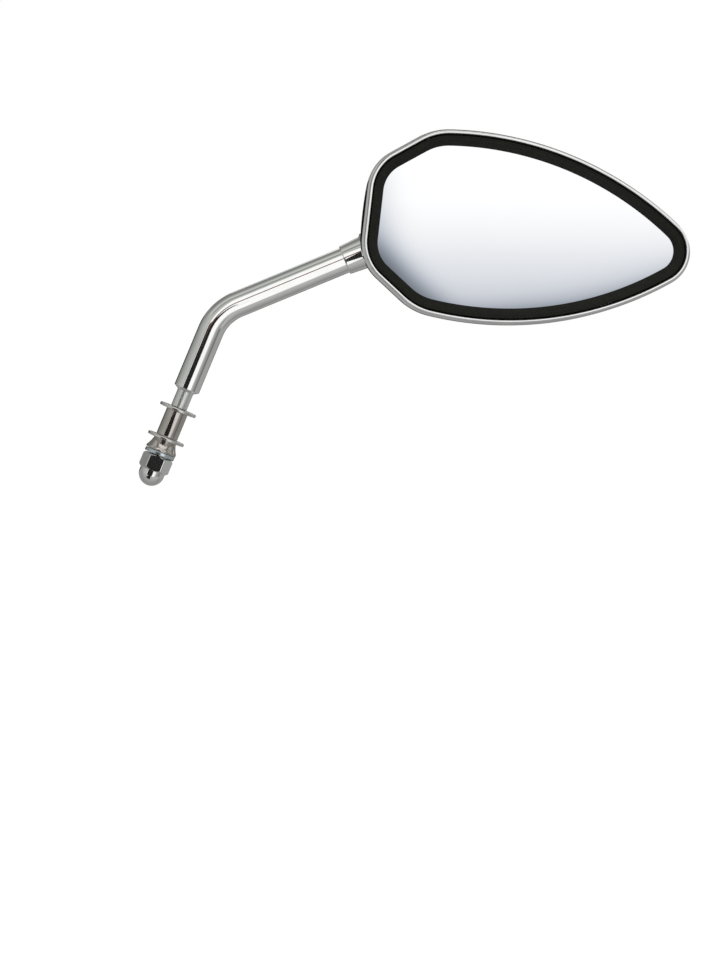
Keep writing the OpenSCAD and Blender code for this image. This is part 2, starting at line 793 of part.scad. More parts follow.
module glass_gasket() {
  edge = ring_2d(glass_inset);
  rings = [for (s = [0:12]) [for (i = [0:ring_n - 1])
    let(spot = gasket_section(edge[i])[s], p = ring_2d(spot[0])[i]) [p[0], p[1], spot[1]]]];
  points = [for (r = rings) each r];
  color("black")
    in_head()
      polyhedron(
        points = [for (p = points) from_ball(p)],
        faces = [for (s = [0:12]) each band(ring_ids(s * ring_n), ring_ids((s + 1) % 13 * ring_n))]
      );
}

stem();
upper_washer();
spacer_sleeve();
lower_washer();
cone_spacer();
lock_washer();
cap_nut();
collar_nut();
knuckle();
pivot_ball();
ball_screw();
ball_liner();
pressure_cup();
disc_spring();
retainer_plate();
retainer_screws();
head_shell();
foam_pad();
mirror_glass();
glass_gasket();
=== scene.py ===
"""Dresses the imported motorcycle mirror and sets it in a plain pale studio.

The mirror's sizes are in millimetres, as on a maker's drawing, and its meshes are written in
metres. The studio's places are in metres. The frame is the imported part's own: the origin lies
where the bar meets its stud, +Z runs up the stud, and the glass faces -Y.
"""

import logging
import math
from dataclasses import dataclass, field
from enum import Enum
from typing import Sequence

import bpy
import numpy as np
from mathutils import Matrix, Vector


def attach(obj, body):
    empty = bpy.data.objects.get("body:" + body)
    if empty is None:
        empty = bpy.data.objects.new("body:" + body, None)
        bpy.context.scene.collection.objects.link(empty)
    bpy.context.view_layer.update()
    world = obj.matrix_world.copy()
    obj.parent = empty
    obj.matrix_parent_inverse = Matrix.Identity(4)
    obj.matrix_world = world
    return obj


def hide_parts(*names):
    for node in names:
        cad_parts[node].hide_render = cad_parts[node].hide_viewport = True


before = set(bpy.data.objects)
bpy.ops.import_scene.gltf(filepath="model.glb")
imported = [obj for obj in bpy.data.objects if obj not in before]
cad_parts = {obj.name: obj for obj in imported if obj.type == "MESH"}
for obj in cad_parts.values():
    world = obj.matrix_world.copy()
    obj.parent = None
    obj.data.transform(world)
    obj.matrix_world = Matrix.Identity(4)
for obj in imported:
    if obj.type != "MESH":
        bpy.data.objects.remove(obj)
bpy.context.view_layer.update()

MM = 0.001
LOG = logging.getLogger("mirror_dressing")

Array = np.ndarray
Triple = tuple[float, float, float]
Colour = tuple[float, float, float, float]
Profile = Sequence[tuple[float, float]]
Row = tuple[float, float, bool]
Faces = list[tuple[int, ...]]
Socket = bpy.types.NodeSocket
Material = bpy.types.Material
Piece = bpy.types.Object


class Body(Enum):
    """The moving bodies that new pieces ride on."""

    STEM = "stem"
    HARDWARE = "hardware"
    CAP_NUT = "cap_nut"
    COLLAR_NUT = "collar_nut"
    KNUCKLE = "knuckle"
    BALL = "ball"
    HEAD = "head"


class Slot(Enum):
    """The material slots that the new pieces use."""

    BAR = "bar"
    KNUCKLE = "knuckle"
    HEAD = "head"
    CAP_NUT = "cap_nut"
    WASHER = "washer"
    SPACER = "spacer"
    LOCK_WASHER = "lock_washer"
    BALL = "ball"
    MIRROR = "mirror"
    GASKET = "gasket"


# Frames -------------------------------------------------------------------------------------


def turn(axis: str, degrees: float) -> Array:
    """A 4 x 4 turn about X, Y or Z."""
    return np.array(Matrix.Rotation(math.radians(degrees), 4, axis))


def shift(x: float, y: float, z: float) -> Array:
    """A 4 x 4 move."""
    return np.array(Matrix.Translation((x, y, z)))


def placed(points: Array, matrix: Array) -> Array:
    """Points moved by a 4 x 4 matrix."""
    return points @ matrix[:3, :3].T + matrix[:3, 3]


@dataclass(frozen=True)
class Layout:
    """Where the bar's upper leg, the knuckle's leg and the head stand."""

    bend_height: float = 41.5
    bend_angle: float = 45.0
    bend_r: float = 24.0
    collar_at: float = 66.0
    elbow_at: float = 106.0
    elbow_angle: float = 103.0
    leg_l: float = 22.0
    head_roll: float = 60.5

    def upper_leg(self, along: float) -> Array:
        """The frame on the bar's upper leg, that far from the bend's corner."""
        return shift(0, 0, self.bend_height) @ turn("Y", self.bend_angle) @ shift(0, 0, along)

    def elbow(self) -> Array:
        """The frame at the middle of the knuckle's elbow."""
        return self.upper_leg(self.elbow_at)

    def ball(self) -> Array:
        """The frame at the ball's centre, +Z out of the knuckle's leg."""
        return self.elbow() @ turn("X", 180 - self.elbow_angle) @ shift(0, 0, self.leg_l)

    def head(self) -> Array:
        """The frame at the ball's centre, turned with the head."""
        return self.ball() @ turn("Z", self.head_roll)


LAYOUT = Layout()


# Meshes -------------------------------------------------------------------------------------


def linked(name: str, data: bpy.types.ID) -> Piece:
    """Makes an object of some data and links it to the scene.

    Args:
        name: The object's name.
        data: Its mesh, curve, lamp or camera.

    Returns:
        The new object, at the origin.
    """
    made = bpy.data.objects.new(name, data)
    bpy.context.scene.collection.objects.link(made)
    return made


def shade(mesh: bpy.types.Mesh, crease: float) -> None:
    """Shades a mesh smooth, but for edges that turn more than so many degrees."""
    mesh.polygons.foreach_set("use_smooth", [True] * len(mesh.polygons))
    mesh.set_sharp_from_angle(angle=math.radians(crease))


def mesh_piece(name: str, points: Array, faces: Faces, material: Material, crease: float) -> Piece:
    """Makes a mesh object at the origin.

    Args:
        name: The piece's name.
        points: N x 3 points in millimetres.
        faces: Corner numbers of each face, anticlockwise as seen from outside.
        material: Its material.
        crease: Edges that turn more than this many degrees stay sharp.

    Returns:
        The new object.
    """
    mesh = bpy.data.meshes.new(name)
    mesh.from_pydata((points * MM).tolist(), [], faces)
    mesh.materials.append(material)
    mesh.update()
    shade(mesh, crease)
    return linked(name, mesh)


def banded(
    rows: int, count: int, loop: bool = False, caps: bool = False, inverted: bool = False
) -> Faces:
    """Faces over a stack of rings that all have the same count of points.

    Args:
        rows: How many rings.
        count: Points on each ring.
        loop: Whether the last ring joins the first.
        caps: Whether a face closes each end.
        inverted: Whether the faces point to the other side.

    Returns:
        The faces, outwards where the rings turn anticlockwise about the way that they climb.
    """
    faces: Faces = []
    for k in range(rows if loop else rows - 1):
        low, high = k * count, (k + 1) % rows * count
        for i in range(count):
            n = (i + 1) % count
            faces.append((low + i, low + n, high + n, high + i))
    if caps:
        faces.append(tuple(range(count))[::-1])
        faces.append(tuple(range((rows - 1) * count, rows * count)))
    return [f[::-1] for f in faces] if inverted else faces


def lathed(profile: Profile, steps: int = 128) -> tuple[Array, Faces]:
    """Turns a closed profile of (radius, height) about Z.

    Args:
        profile: Points anticlockwise in the (radius, height) plane. It closes on itself, unless
            both its ends lie on the axis.
        steps: How many steps round.

    Returns:
        Points and faces, which point outwards.
    """
    angles = np.linspace(0, 2 * math.pi, steps, endpoint=False)
    points: list[Triple] = []
    starts: list[tuple[int, bool]] = []
    for r, z in profile:
        starts.append((len(points), r == 0))
        if r == 0:
            points.append((0.0, 0.0, z))
        else:
            points.extend((r * math.cos(a), r * math.sin(a), z) for a in angles)
    closed = not (starts[0][1] and starts[-1][1])
    faces: Faces = []
    for k in range(len(profile) - (0 if closed else 1)):
        (a, a_pole), (b, b_pole) = starts[k], starts[(k + 1) % len(profile)]
        for i in range(steps):
            n = (i + 1) % steps
            if a_pole:
                faces.append((a, b + n, b + i))
            elif b_pole:
                faces.append((a + i, a + n, b))
            else:
                faces.append((a + i, a + n, b + n, b + i))
    return np.array(points), faces


def eased(profile: Profile, radius: float) -> list[tuple[float, float]]:
    """Rounds each corner of a closed profile.

    Args:
        profile: Corner points.
        radius: How far from each corner the rounding starts, at most.

    Returns:
        The rounded profile.
    """
    out: list[tuple[float, float]] = []
    count = len(profile)
    for i in range(count):
        corner = np.array(profile[i])
        ends: list[Array] = []
        for other in (np.array(profile[i - 1]), np.array(profile[(i + 1) % count])):
            side = np.linalg.norm(other - corner)
            ends.append(corner + (other - corner) / side * min(radius, side * 0.45))
        for t in np.linspace(0, 1, 5):
            out.append(tuple((1 - t) ** 2 * ends[0] + 2 * t * (1 - t) * corner + t * t * ends[1]))
    return out


def hexagon_rows(
    flat: float, height: float, chamfer: float, slope: float, middle: int
) -> list[Row]:
    """Rows of a hexagon whose corners are turned off at both ends.

    Args:
        flat: Half the width across the flats.
        height: The hexagon's height.
        chamfer: The height over which the rows stand close together at each end.
        slope: How much wider than the flats the turned ends grow with height.
        middle: Rows between the two ends.

    Returns:
        Radius, height and a mark that the hexagon cuts the row.
    """
    fine, start, plain, play = round(chamfer * 10), 0.1, 1.6, 0.05
    corner = flat / math.cos(math.pi / 6) + play
    heights = np.concatenate([
        np.linspace(start, chamfer, fine),
        np.linspace(plain, height - plain, middle),
        np.linspace(height - chamfer, height - start, fine),
    ])
    return [(min(corner, flat - play + min(z, height - z) * slope), z, True) for z in heights]


def six_sided(rows: Sequence[Row], flat: float, way: int) -> tuple[Array, Faces]:
    """A turned body whose marked rows are cut to a hexagon.

    Args:
        rows: Radius, height and whether the hexagon cuts the row, from the first end on.
        flat: Half the width across the flats.
        way: 1 where the rows climb, -1 where they count downwards.

    Returns:
        Points and faces.
    """
    steps, sixth, edge_break, pole_r = 180, math.pi / 3, 0.12, 1e-4
    angles = np.linspace(0, 2 * math.pi, steps, endpoint=False)
    hexagon = flat / np.cos(angles % sixth - sixth / 2)
    hexagon = np.minimum(hexagon, flat / math.cos(sixth / 2) - edge_break)
    rings: list[Array] = []
    for r, z, cut in rows:
        radius = np.minimum(r, hexagon) if cut else np.full(steps, max(r, pole_r))
        x, y = radius * np.cos(angles), radius * np.sin(angles)
        rings.append(np.column_stack([x, y, np.full(steps, way * z)]))
    return np.concatenate(rings), banded(len(rows), steps, caps=True, inverted=way < 0)


# Nodes --------------------------------------------------------------------------------------

WHITE: Colour = (1.0, 1.0, 1.0, 1.0)


class NodeKit:
    """A node tree, with short ways to add and join nodes."""

    def __init__(self, tree: bpy.types.NodeTree) -> None:
        """Takes the tree that the nodes go into."""
        self.tree = tree

    def join(self, value: object, socket: Socket) -> None:
        """Joins another node's socket to an input, or sets the input to a plain value.

        Args:
            value: The other node's socket, or the value.
            socket: The input.
        """
        if isinstance(value, bpy.types.NodeSocket):
            self.tree.links.new(value, socket)
        else:
            socket.default_value = value

    def add(
        self, kind: str, inputs: dict[str | int, object] | None = None, **settings: object
    ) -> bpy.types.Node:
        """Adds a node.

        Args:
            kind: Blender's name for the node's type.
            inputs: Values or sockets for its inputs, by name or number.
            settings: Its other settings.

        Returns:
            The node.
        """
        node = self.tree.nodes.new(kind)
        for key, value in settings.items():
            setattr(node, key, value)
        for key, value in (inputs or {}).items():
            self.join(value, node.inputs[key])
        return node

    def math(self, operation: str, *values: object) -> Socket:
        """One sum on numbers or sockets."""
        return self.add("ShaderNodeMath", dict(enumerate(values)), operation=operation).outputs[0]

    def ranged(
        self, value: Socket, start: float, stop: float, low: float = 0.0, high: float = 1.0,
        smooth: bool = False,
    ) -> Socket:
        """Maps start..stop to low..high.

        Args:
            value: The value to map.
            start: Where it starts.
            stop: Where it stops.
            low: What the start becomes.
            high: What the stop becomes.
            smooth: Whether it eases in and out.

        Returns:
            The mapped value.
        """
        ends = {"From Min": start, "From Max": stop, "To Min": low, "To Max": high}
        way = "SMOOTHSTEP" if smooth else "LINEAR"
        return self.add(
            "ShaderNodeMapRange", {"Value": value, **ends}, interpolation_type=way
        ).outputs["Result"]

    def ramp(self, value: Socket, stops: Sequence[tuple[float, Sequence[float]]]) -> Socket:
        """Colours a value.

        Args:
            value: A value from 0 to 1.
            stops: Places and colours on the ramp.

        Returns:
            The colour.
        """
        node = self.add("ShaderNodeValToRGB", {"Fac": value})
        elements = node.color_ramp.elements
        while len(elements) < len(stops):
            elements.new(0.5)
        for element, (place, colour) in zip(elements, stops):
            element.position = place
            element.color = (*colour, 1.0)
        return node.outputs["Color"]

    def greys(
        self, value: Socket, stops: Profile, tint: Triple = (1, 1, 1), unit: float = 1.0
    ) -> Socket:
        """Turns a value into greys.

        Args:
            value: The value.
            stops: Places and their greys.
            tint: What the greys are multiplied by.
            unit: How much of the value one step of the places is.

        Returns:
            The grey.
        """
        first, last = stops[0][0], stops[-1][0]
        share = self.ranged(value, first * unit, last * unit)
        return self.ramp(
            share,
            [((s - first) / (last - first), [level * c for c in tint]) for s, level in stops],
        )

    def mixed(self, share: Socket, first: object, second: object) -> Socket:
        """A colour between two others."""
        ends = {"Factor": share, "A": first, "B": second}
        return self.add("ShaderNodeMix", ends, data_type="RGBA").outputs["Result"]

    def between(self, share: Socket, first: Socket, second: Socket) -> Socket:
        """A shader between two others."""
        return self.add("ShaderNodeMixShader", {"Fac": share, 1: first, 2: second}).outputs[0]


class NodeSheet(NodeKit):
    """A material on a principled shader, its patterns read in object space."""

    def __init__(self, name: str) -> None:
        """Starts the material.

        Args:
            name: The material's name.
        """
        self.material = bpy.data.materials.new(name)
        self.material.use_nodes = True
        super().__init__(self.material.node_tree)
        self.shader = self.tree.nodes["Principled BSDF"]
        self.object_space = self.add("ShaderNodeTexCoord").outputs["Object"]

    def drive(self, socket: str, value: object) -> None:
        """Joins a value to one of the shader's sockets, or sets it there."""
        self.join(value, self.shader.inputs[socket])

    def noise(self, scale: float, detail: float, stretch: Triple = (1, 1, 1)) -> Socket:
        """A noise with features about 1 / scale metres across.

        Args:
            scale: How fine it is.
            detail: How many finer layers it has.
            stretch: How much finer it is along each axis.

        Returns:
            The noise, from 0 to 1.
        """
        place = self.add("ShaderNodeMapping", {"Vector": self.object_space, "Scale": stretch})
        sizes = {"Vector": place.outputs[0], "Scale": scale, "Detail": detail}
        return self.add("ShaderNodeTexNoise", sizes).outputs["Fac"]

    def bump(self, height: Socket, distance: float) -> None:
        """Bumps the surface by a height, over a distance in metres."""
        bump = {"Height": height, "Distance": distance, "Strength": 1.0}
        self.drive("Normal", self.add("ShaderNodeBump", bump).outputs["Normal"])


class GlowSheet(NodeKit):
    """A material for the studio, whose level follows places in millimetres."""

    def __init__(self, name: str) -> None:
        """Starts the material.

        Args:
            name: The material's name.
        """
        self.material = bpy.data.materials.new(name)
        self.material.use_nodes = True
        super().__init__(self.material.node_tree)
        self.tree.nodes.clear()
        metres = self.add("ShaderNodeTexCoord").outputs["Object"]
        scaled = {0: metres, "Scale": 1 / MM}
        self.place = self.add("ShaderNodeVectorMath", scaled, operation="SCALE").outputs[0]

    def along(self, direction: Triple, start: float) -> Socket:
        """Millimetres along a direction, counted from a start.

        Args:
            direction: The direction.
            start: Where the count starts.

        Returns:
            The distance.
        """
        ends = {0: self.place, 1: direction}
        dot = self.add("ShaderNodeVectorMath", ends, operation="DOT_PRODUCT")
        return self.math("SUBTRACT", dot.outputs["Value"], start)

    def surface(self, shader: Socket) -> Material:
        """Ends the material in a shader."""
        self.add("ShaderNodeOutputMaterial", {"Surface": shader})
        return self.material

    def glow(self, level: object, tint: Triple = (1, 1, 1), cool: float = 0.0) -> Material:
        """Ends the material in a glow.

        Args:
            level: The glow, as a number or a socket.
            tint: Its colour.
            cool: How much bluer the glow turns as it darkens.

        Returns:
            The material.
        """
        colour: object = (*tint, 1.0)
        if cool:
            colour = self.mixed(level, (1 - 0.6 * cool, 1.0, 1 + cool, 1.0), WHITE)
        lit = self.add("ShaderNodeEmission", {"Color": colour, "Strength": level})
        return self.surface(lit.outputs[0])


class SweepTree(NodeKit):
    """A geometry node tree that sweeps a section along a path."""

    def __init__(self, name: str) -> None:
        """Starts the tree.

        Args:
            name: The tree's name.
        """
        super().__init__(bpy.data.node_groups.new(name, "GeometryNodeTree"))
        for label, way in (("Path", "INPUT"), ("Swept", "OUTPUT")):
            self.tree.interface.new_socket(
                label, in_out=way, socket_type="NodeSocketGeometry"
            )
        self.source = self.add("NodeGroupInput")
        self.result = self.add("NodeGroupOutput")

    def size(self, name: str, value: float, kind: str = "NodeSocketFloat") -> Socket:
        """Adds a named size to the tree.

        Args:
            name: What the size is.
            value: Its value.
            kind: The socket's type.

        Returns:
            The socket that gives the size.
        """
        socket = self.tree.interface.new_socket(name, in_out="INPUT", socket_type=kind)
        socket.default_value = value
        return self.source.outputs[name]

    def sweep(self, path: Socket, section: Socket, material: Material, lift: float = 0.0) -> None:
        """Sweeps a section along a path with capped ends, and ends the tree.

        Args:
            path: The curve.
            section: The section's curve.
            material: The swept piece's material.
            lift: How far the result moves up, in metres.
        """
        ends = {"Curve": path, "Profile Curve": section, "Fill Caps": True}
        swept = self.add("GeometryNodeCurveToMesh", ends).outputs["Mesh"]
        move = {"Geometry": swept, "Translation": (0, 0, lift)}
        moved = self.add("GeometryNodeTransform", move).outputs["Geometry"]
        real = self.add("GeometryNodeRealizeInstances", {"Geometry": moved}).outputs[0]
        dress = {"Geometry": real, "Material": material}
        dressed = self.add("GeometryNodeSetMaterial", dress).outputs[0]
        self.join(dressed, self.result.inputs[0])

    def grown(self, name: str, path: Array, crease: float = 40.0) -> Piece:
        """Runs the tree on a path and keeps the result as a plain mesh.

        Args:
            name: The piece's name.
            path: N x 3 points in millimetres.
            crease: Edges that turn more than this many degrees stay sharp.

        Returns:
            The new mesh object.
        """
        curve = bpy.data.curves.new(name + "_path", "CURVE")
        curve.dimensions = "3D"
        line = curve.splines.new("POLY")
        line.points.add(len(path) - 1)
        for spot, p in zip(line.points, path * MM):
            spot.co = (*p, 1.0)
        carrier = linked(name + "_path", curve)
        carrier.modifiers.new("sweep", "NODES").node_group = self.tree
        graph = bpy.context.evaluated_depsgraph_get()
        mesh = bpy.data.meshes.new_from_object(carrier.evaluated_get(graph))
        mesh.name = name
        carrier.modifiers.clear()
        bpy.data.objects.remove(carrier)
        shade(mesh, crease)
        return linked(name, mesh)


# Finishes -----------------------------------------------------------------------------------

CHROME: Triple = (0.92, 0.925, 0.91)
WAVE = 0.00003
# The part of a noise's range over which a finish spreads its roughness
NOISE_SPAN = (0.3, 0.7)


@dataclass(frozen=True)
class Metal:
    """A plated, polished or ground metal finish."""

    name: str
    tint: Triple
    rough: tuple[float, float]
    grain: Triple = (1, 1, 1)
    grain_scale: float = 300.0
    wave: float = 0.0
    wave_scale: float = 45.0
    stain_scale: float = 60.0
    dull: float = 0.08

    def material(self) -> Material:
        """Builds the finish: a tint with faint staining, uneven polish and a slight waviness.

        Returns:
            The material.
        """
        sheet = NodeSheet(self.name)
        darker = [c * (1 - self.dull) for c in self.tint]
        stain = sheet.noise(self.stain_scale, 4.0)
        sheet.drive("Base Color", sheet.ramp(stain, ((0.35, darker), (0.6, self.tint))))
        grain = sheet.noise(self.grain_scale, 6.0, self.grain)
        sheet.drive("Roughness", sheet.ranged(grain, *NOISE_SPAN, *self.rough))
        sheet.drive("Metallic", 1.0)
        if self.wave:
            sheet.bump(sheet.noise(self.wave_scale, 1.0), self.wave)
        return sheet.material


@dataclass(frozen=True)
class Soft:
    """A rubber, foam or nylon finish."""

    name: str
    low: Triple
    high: Triple
    rough: tuple[float, float]
    scale: float
    depth: float
    specular: float = 0.5

    def material(self) -> Material:
        """Builds the finish: mottled colour, uneven sheen and a moulded or cellular grain.

        Returns:
            The material.
        """
        sheet = NodeSheet(self.name)
        mottle = sheet.noise(self.scale * 0.3, 4.0)
        sheet.drive("Base Color", sheet.ramp(mottle, ((0.3, self.low), (0.7, self.high))))
        grain = sheet.noise(self.scale, 5.0)
        sheet.drive("Roughness", sheet.ranged(grain, *NOISE_SPAN, *self.rough))
        sheet.bump(grain, self.depth)
        sheet.drive("Specular IOR Level", self.specular)
        return sheet.material


@dataclass(frozen=True)
class Silvering:
    """The coated glass of the mirror."""

    name: str = "convex_silvered_glass"
    tint: Triple = (0.93, 0.935, 0.95)
    haze_scale: float = 25.0
    haze_rough: float = 0.012

    def material(self) -> Material:
        """Builds the finish: a silver that is a trace uneven, as rolled glass is.

        Returns:
            The material.
        """
        sheet = NodeSheet(self.name)
        haze = sheet.noise(self.haze_scale, 2.0)
        fainter = [c * 0.99 for c in self.tint]
        sheet.drive("Base Color", sheet.ramp(haze, ((0.3, fainter), (0.7, self.tint))))
        sheet.drive("Roughness", sheet.ranged(haze, *NOISE_SPAN, 0.0, self.haze_rough))
        sheet.drive("Metallic", 1.0)
        return sheet.material


def built(finish: Metal | Soft | Silvering) -> Material:
    """A dataclass field that holds a finish's material, built with the set of finishes."""
    return field(default_factory=finish.material)


@dataclass
class Finishes:
    """Every finish on the mirror, built once."""

    bar: Material = built(Metal("bar_chrome", CHROME, (0.03, 0.07), (1, 1, 0.2), 350.0, 0.00002))
    knuckle: Material = built(Metal("knuckle_chrome", CHROME, (0.03, 0.08), wave=WAVE))
    head: Material = built(Metal("head_chrome", CHROME, (0.03, 0.08), wave=WAVE))
    shank: Material = built(Metal(
        "stud_plating", (0.82, 0.83, 0.81), (0.27, 0.4), (1, 1, 0.1), 500.0, dull=0.16))
    cap_nut: Material = built(Metal("cap_nut_chrome", CHROME, (0.03, 0.07)))
    washer: Material = built(Metal(
        "washer_nickel", (0.76, 0.75, 0.715), (0.16, 0.34), (1, 1, 6), 700.0, dull=0.14))
    spacer: Material = built(Metal(
        "spacer_nickel", (0.64, 0.60, 0.565), (0.07, 0.13), (1, 1, 0.15), 700.0, dull=0.16))
    lock_washer: Material = built(Metal(
        "lock_washer_zinc", (0.70, 0.77, 0.81), (0.14, 0.3), (1, 1, 4), 600.0, dull=0.16))
    inner_steel: Material = built(Metal(
        "inner_steel_plating", (0.5, 0.5, 0.5), (0.28, 0.45), grain_scale=500.0))
    nylon: Material = built(Soft(
        "liner_nylon", (0.72, 0.69, 0.6), (0.78, 0.76, 0.68), (0.4, 0.55), 900.0, 0.00002))
    foam: Material = built(Soft(
        "foam_cells", (0.03, 0.03, 0.03), (0.06, 0.06, 0.06), (0.85, 1.0), 1400.0, 0.0002))
    gasket: Material = built(Soft(
        "gasket_rubber", (0.006, 0.006, 0.0045), (0.0085, 0.0085, 0.0065), (0.42, 0.6),
        1500.0, 0.000012, 0.14))
    mirror: Material = built(Silvering())

    def dress_inner_nodes(self) -> None:
        """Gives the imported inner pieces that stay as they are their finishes."""
        for material, nodes in (
            (self.nylon, ("ball_liner", "pressure_cup")),
            (self.inner_steel, ("disc_spring", "retainer_plate", "retainer_screws", "ball_screw")),
            (self.foam, ("foam_pad",)),
        ):
            for node in nodes:
                for material_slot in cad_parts[node].material_slots:
                    material_slot.material = material


# Pieces -------------------------------------------------------------------------------------


def fitted(piece: Piece, body: Body, slot: Slot, *nodes: str) -> None:
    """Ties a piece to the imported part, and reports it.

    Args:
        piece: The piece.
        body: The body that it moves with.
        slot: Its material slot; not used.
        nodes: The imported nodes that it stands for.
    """
    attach(piece, body.value)
    if nodes:
        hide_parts(*nodes)
    LOG.info("%s: %d faces on %s", piece.name, len(piece.data.polygons), body.value)


@dataclass(frozen=True)
class Thread:
    """A screw thread's crest, wound on a core."""

    core_r: float
    crest_r: float
    pitch: float
    top: float
    bottom: float
    steps_round: int = 48
    ridge_sides: int = 6

    def build(self, name: str, material: Material) -> Piece:
        """Winds a ridge round the core.

        Args:
            name: The piece's name.
            material: The thread's material.

        Returns:
            The new mesh object.
        """
        made = SweepTree("thread_winding")
        length = self.top - self.bottom
        core = made.size("Core radius", self.core_r * MM)
        height = made.size("Length", length * MM)
        turns = made.size("Turns", length / self.pitch)
        depth = made.size("Ridge depth", (self.crest_r - self.core_r) * MM)
        spiral = made.add("GeometryNodeCurveSpiral", {
            "Resolution": self.steps_round, "Rotations": turns,
            "Start Radius": core, "End Radius": core, "Height": height,
        })
        ridge = made.add(
            "GeometryNodeCurvePrimitiveCircle", {"Resolution": self.ridge_sides, "Radius": depth}
        )
        made.sweep(
            spiral.outputs["Curve"], ridge.outputs["Curve"], material, self.bottom * MM
        )
        return made.grown(name, np.array([[0.0, 0.0, 0.0], [0.0, 0.0, 1.0]]))


@dataclass
class BentBar:
    """The bent bar, its shoulder and the stud below it."""

    finishes: Finishes
    radius: float = 6.35
    sides: int = 96
    shoulder: float = 1.5
    shoulder_r: float = 4.1
    stud_r: float = 4.0
    shank_l: float = 8.7
    stud_l: float = 45.5
    core_r: float = 3.32
    crest_r: float = 3.78
    pitch: float = 1.25
    top: float = 74.0

    def path(self) -> Array:
        """The bar's centre line.

        Returns:
            N x 3 points, close together in the bend.
        """
        tangent = LAYOUT.bend_r * math.tan(math.radians(LAYOUT.bend_angle / 2))
        start = LAYOUT.bend_height - tangent
        points = [(0.0, 0.0, z) for z in np.linspace(self.shoulder, start, 12, endpoint=False)]
        for a in np.radians(np.linspace(0, LAYOUT.bend_angle, 33)):
            points.append((
                LAYOUT.bend_r * (1 - math.cos(a)), 0.0, start + LAYOUT.bend_r * math.sin(a),
            ))
        points += [
            tuple(LAYOUT.upper_leg(s)[:3, 3]) for s in np.linspace(tangent, self.top, 24)[1:]
        ]
        return np.array(points)

    def bar(self) -> None:
        """The bent tube, as a circle swept along the centre line."""
        made = SweepTree("bar_sweep")
        radius = made.size("Tube radius", self.radius * MM)
        sides = made.size("Sides", self.sides, "NodeSocketInt")
        circle = made.add(
            "GeometryNodeCurvePrimitiveCircle", {"Radius": radius, "Resolution": sides}
        )
        made.sweep(made.source.outputs["Path"], circle.outputs["Curve"], self.finishes.bar)
        fitted(made.grown("bent_bar", self.path()), Body.STEM, Slot.BAR, "stem")

    def stud(self) -> None:
        """The shoulder and the turned stud, from the stud's tip up."""
        shoulder, core, shank, tip = self.shoulder, self.core_r, -self.shank_l, -self.stud_l
        profile = [
            (0, tip), (core - 0.8, tip), (core, tip + 0.8), (core, shank - 0.3),
            (self.stud_r - 0.25, shank), (self.stud_r, shank + 0.25), (self.stud_r, -0.02),
            (self.shoulder_r, 0.0), (self.shoulder_r + 0.2, 0.12),
            (self.radius - 0.15, shoulder - 0.2), (self.radius - 0.02, shoulder + 0.1),
            (self.radius - 0.02, shoulder + 1), (0, shoulder + 1),
        ]
        piece = mesh_piece("stud", *lathed(profile), self.finishes.shank, 30)
        fitted(piece, Body.STEM, Slot.BAR)

    def build(self) -> None:
        """Builds the bar, the stud and the stud's thread."""
        self.bar()
        self.stud()
        top, bottom = -self.shank_l - 0.9, -self.stud_l + 1.2
        thread = Thread(self.core_r, self.crest_r, self.pitch, top, bottom)
        fitted(thread.build("stud_thread", self.finishes.shank), Body.STEM, Slot.BAR)


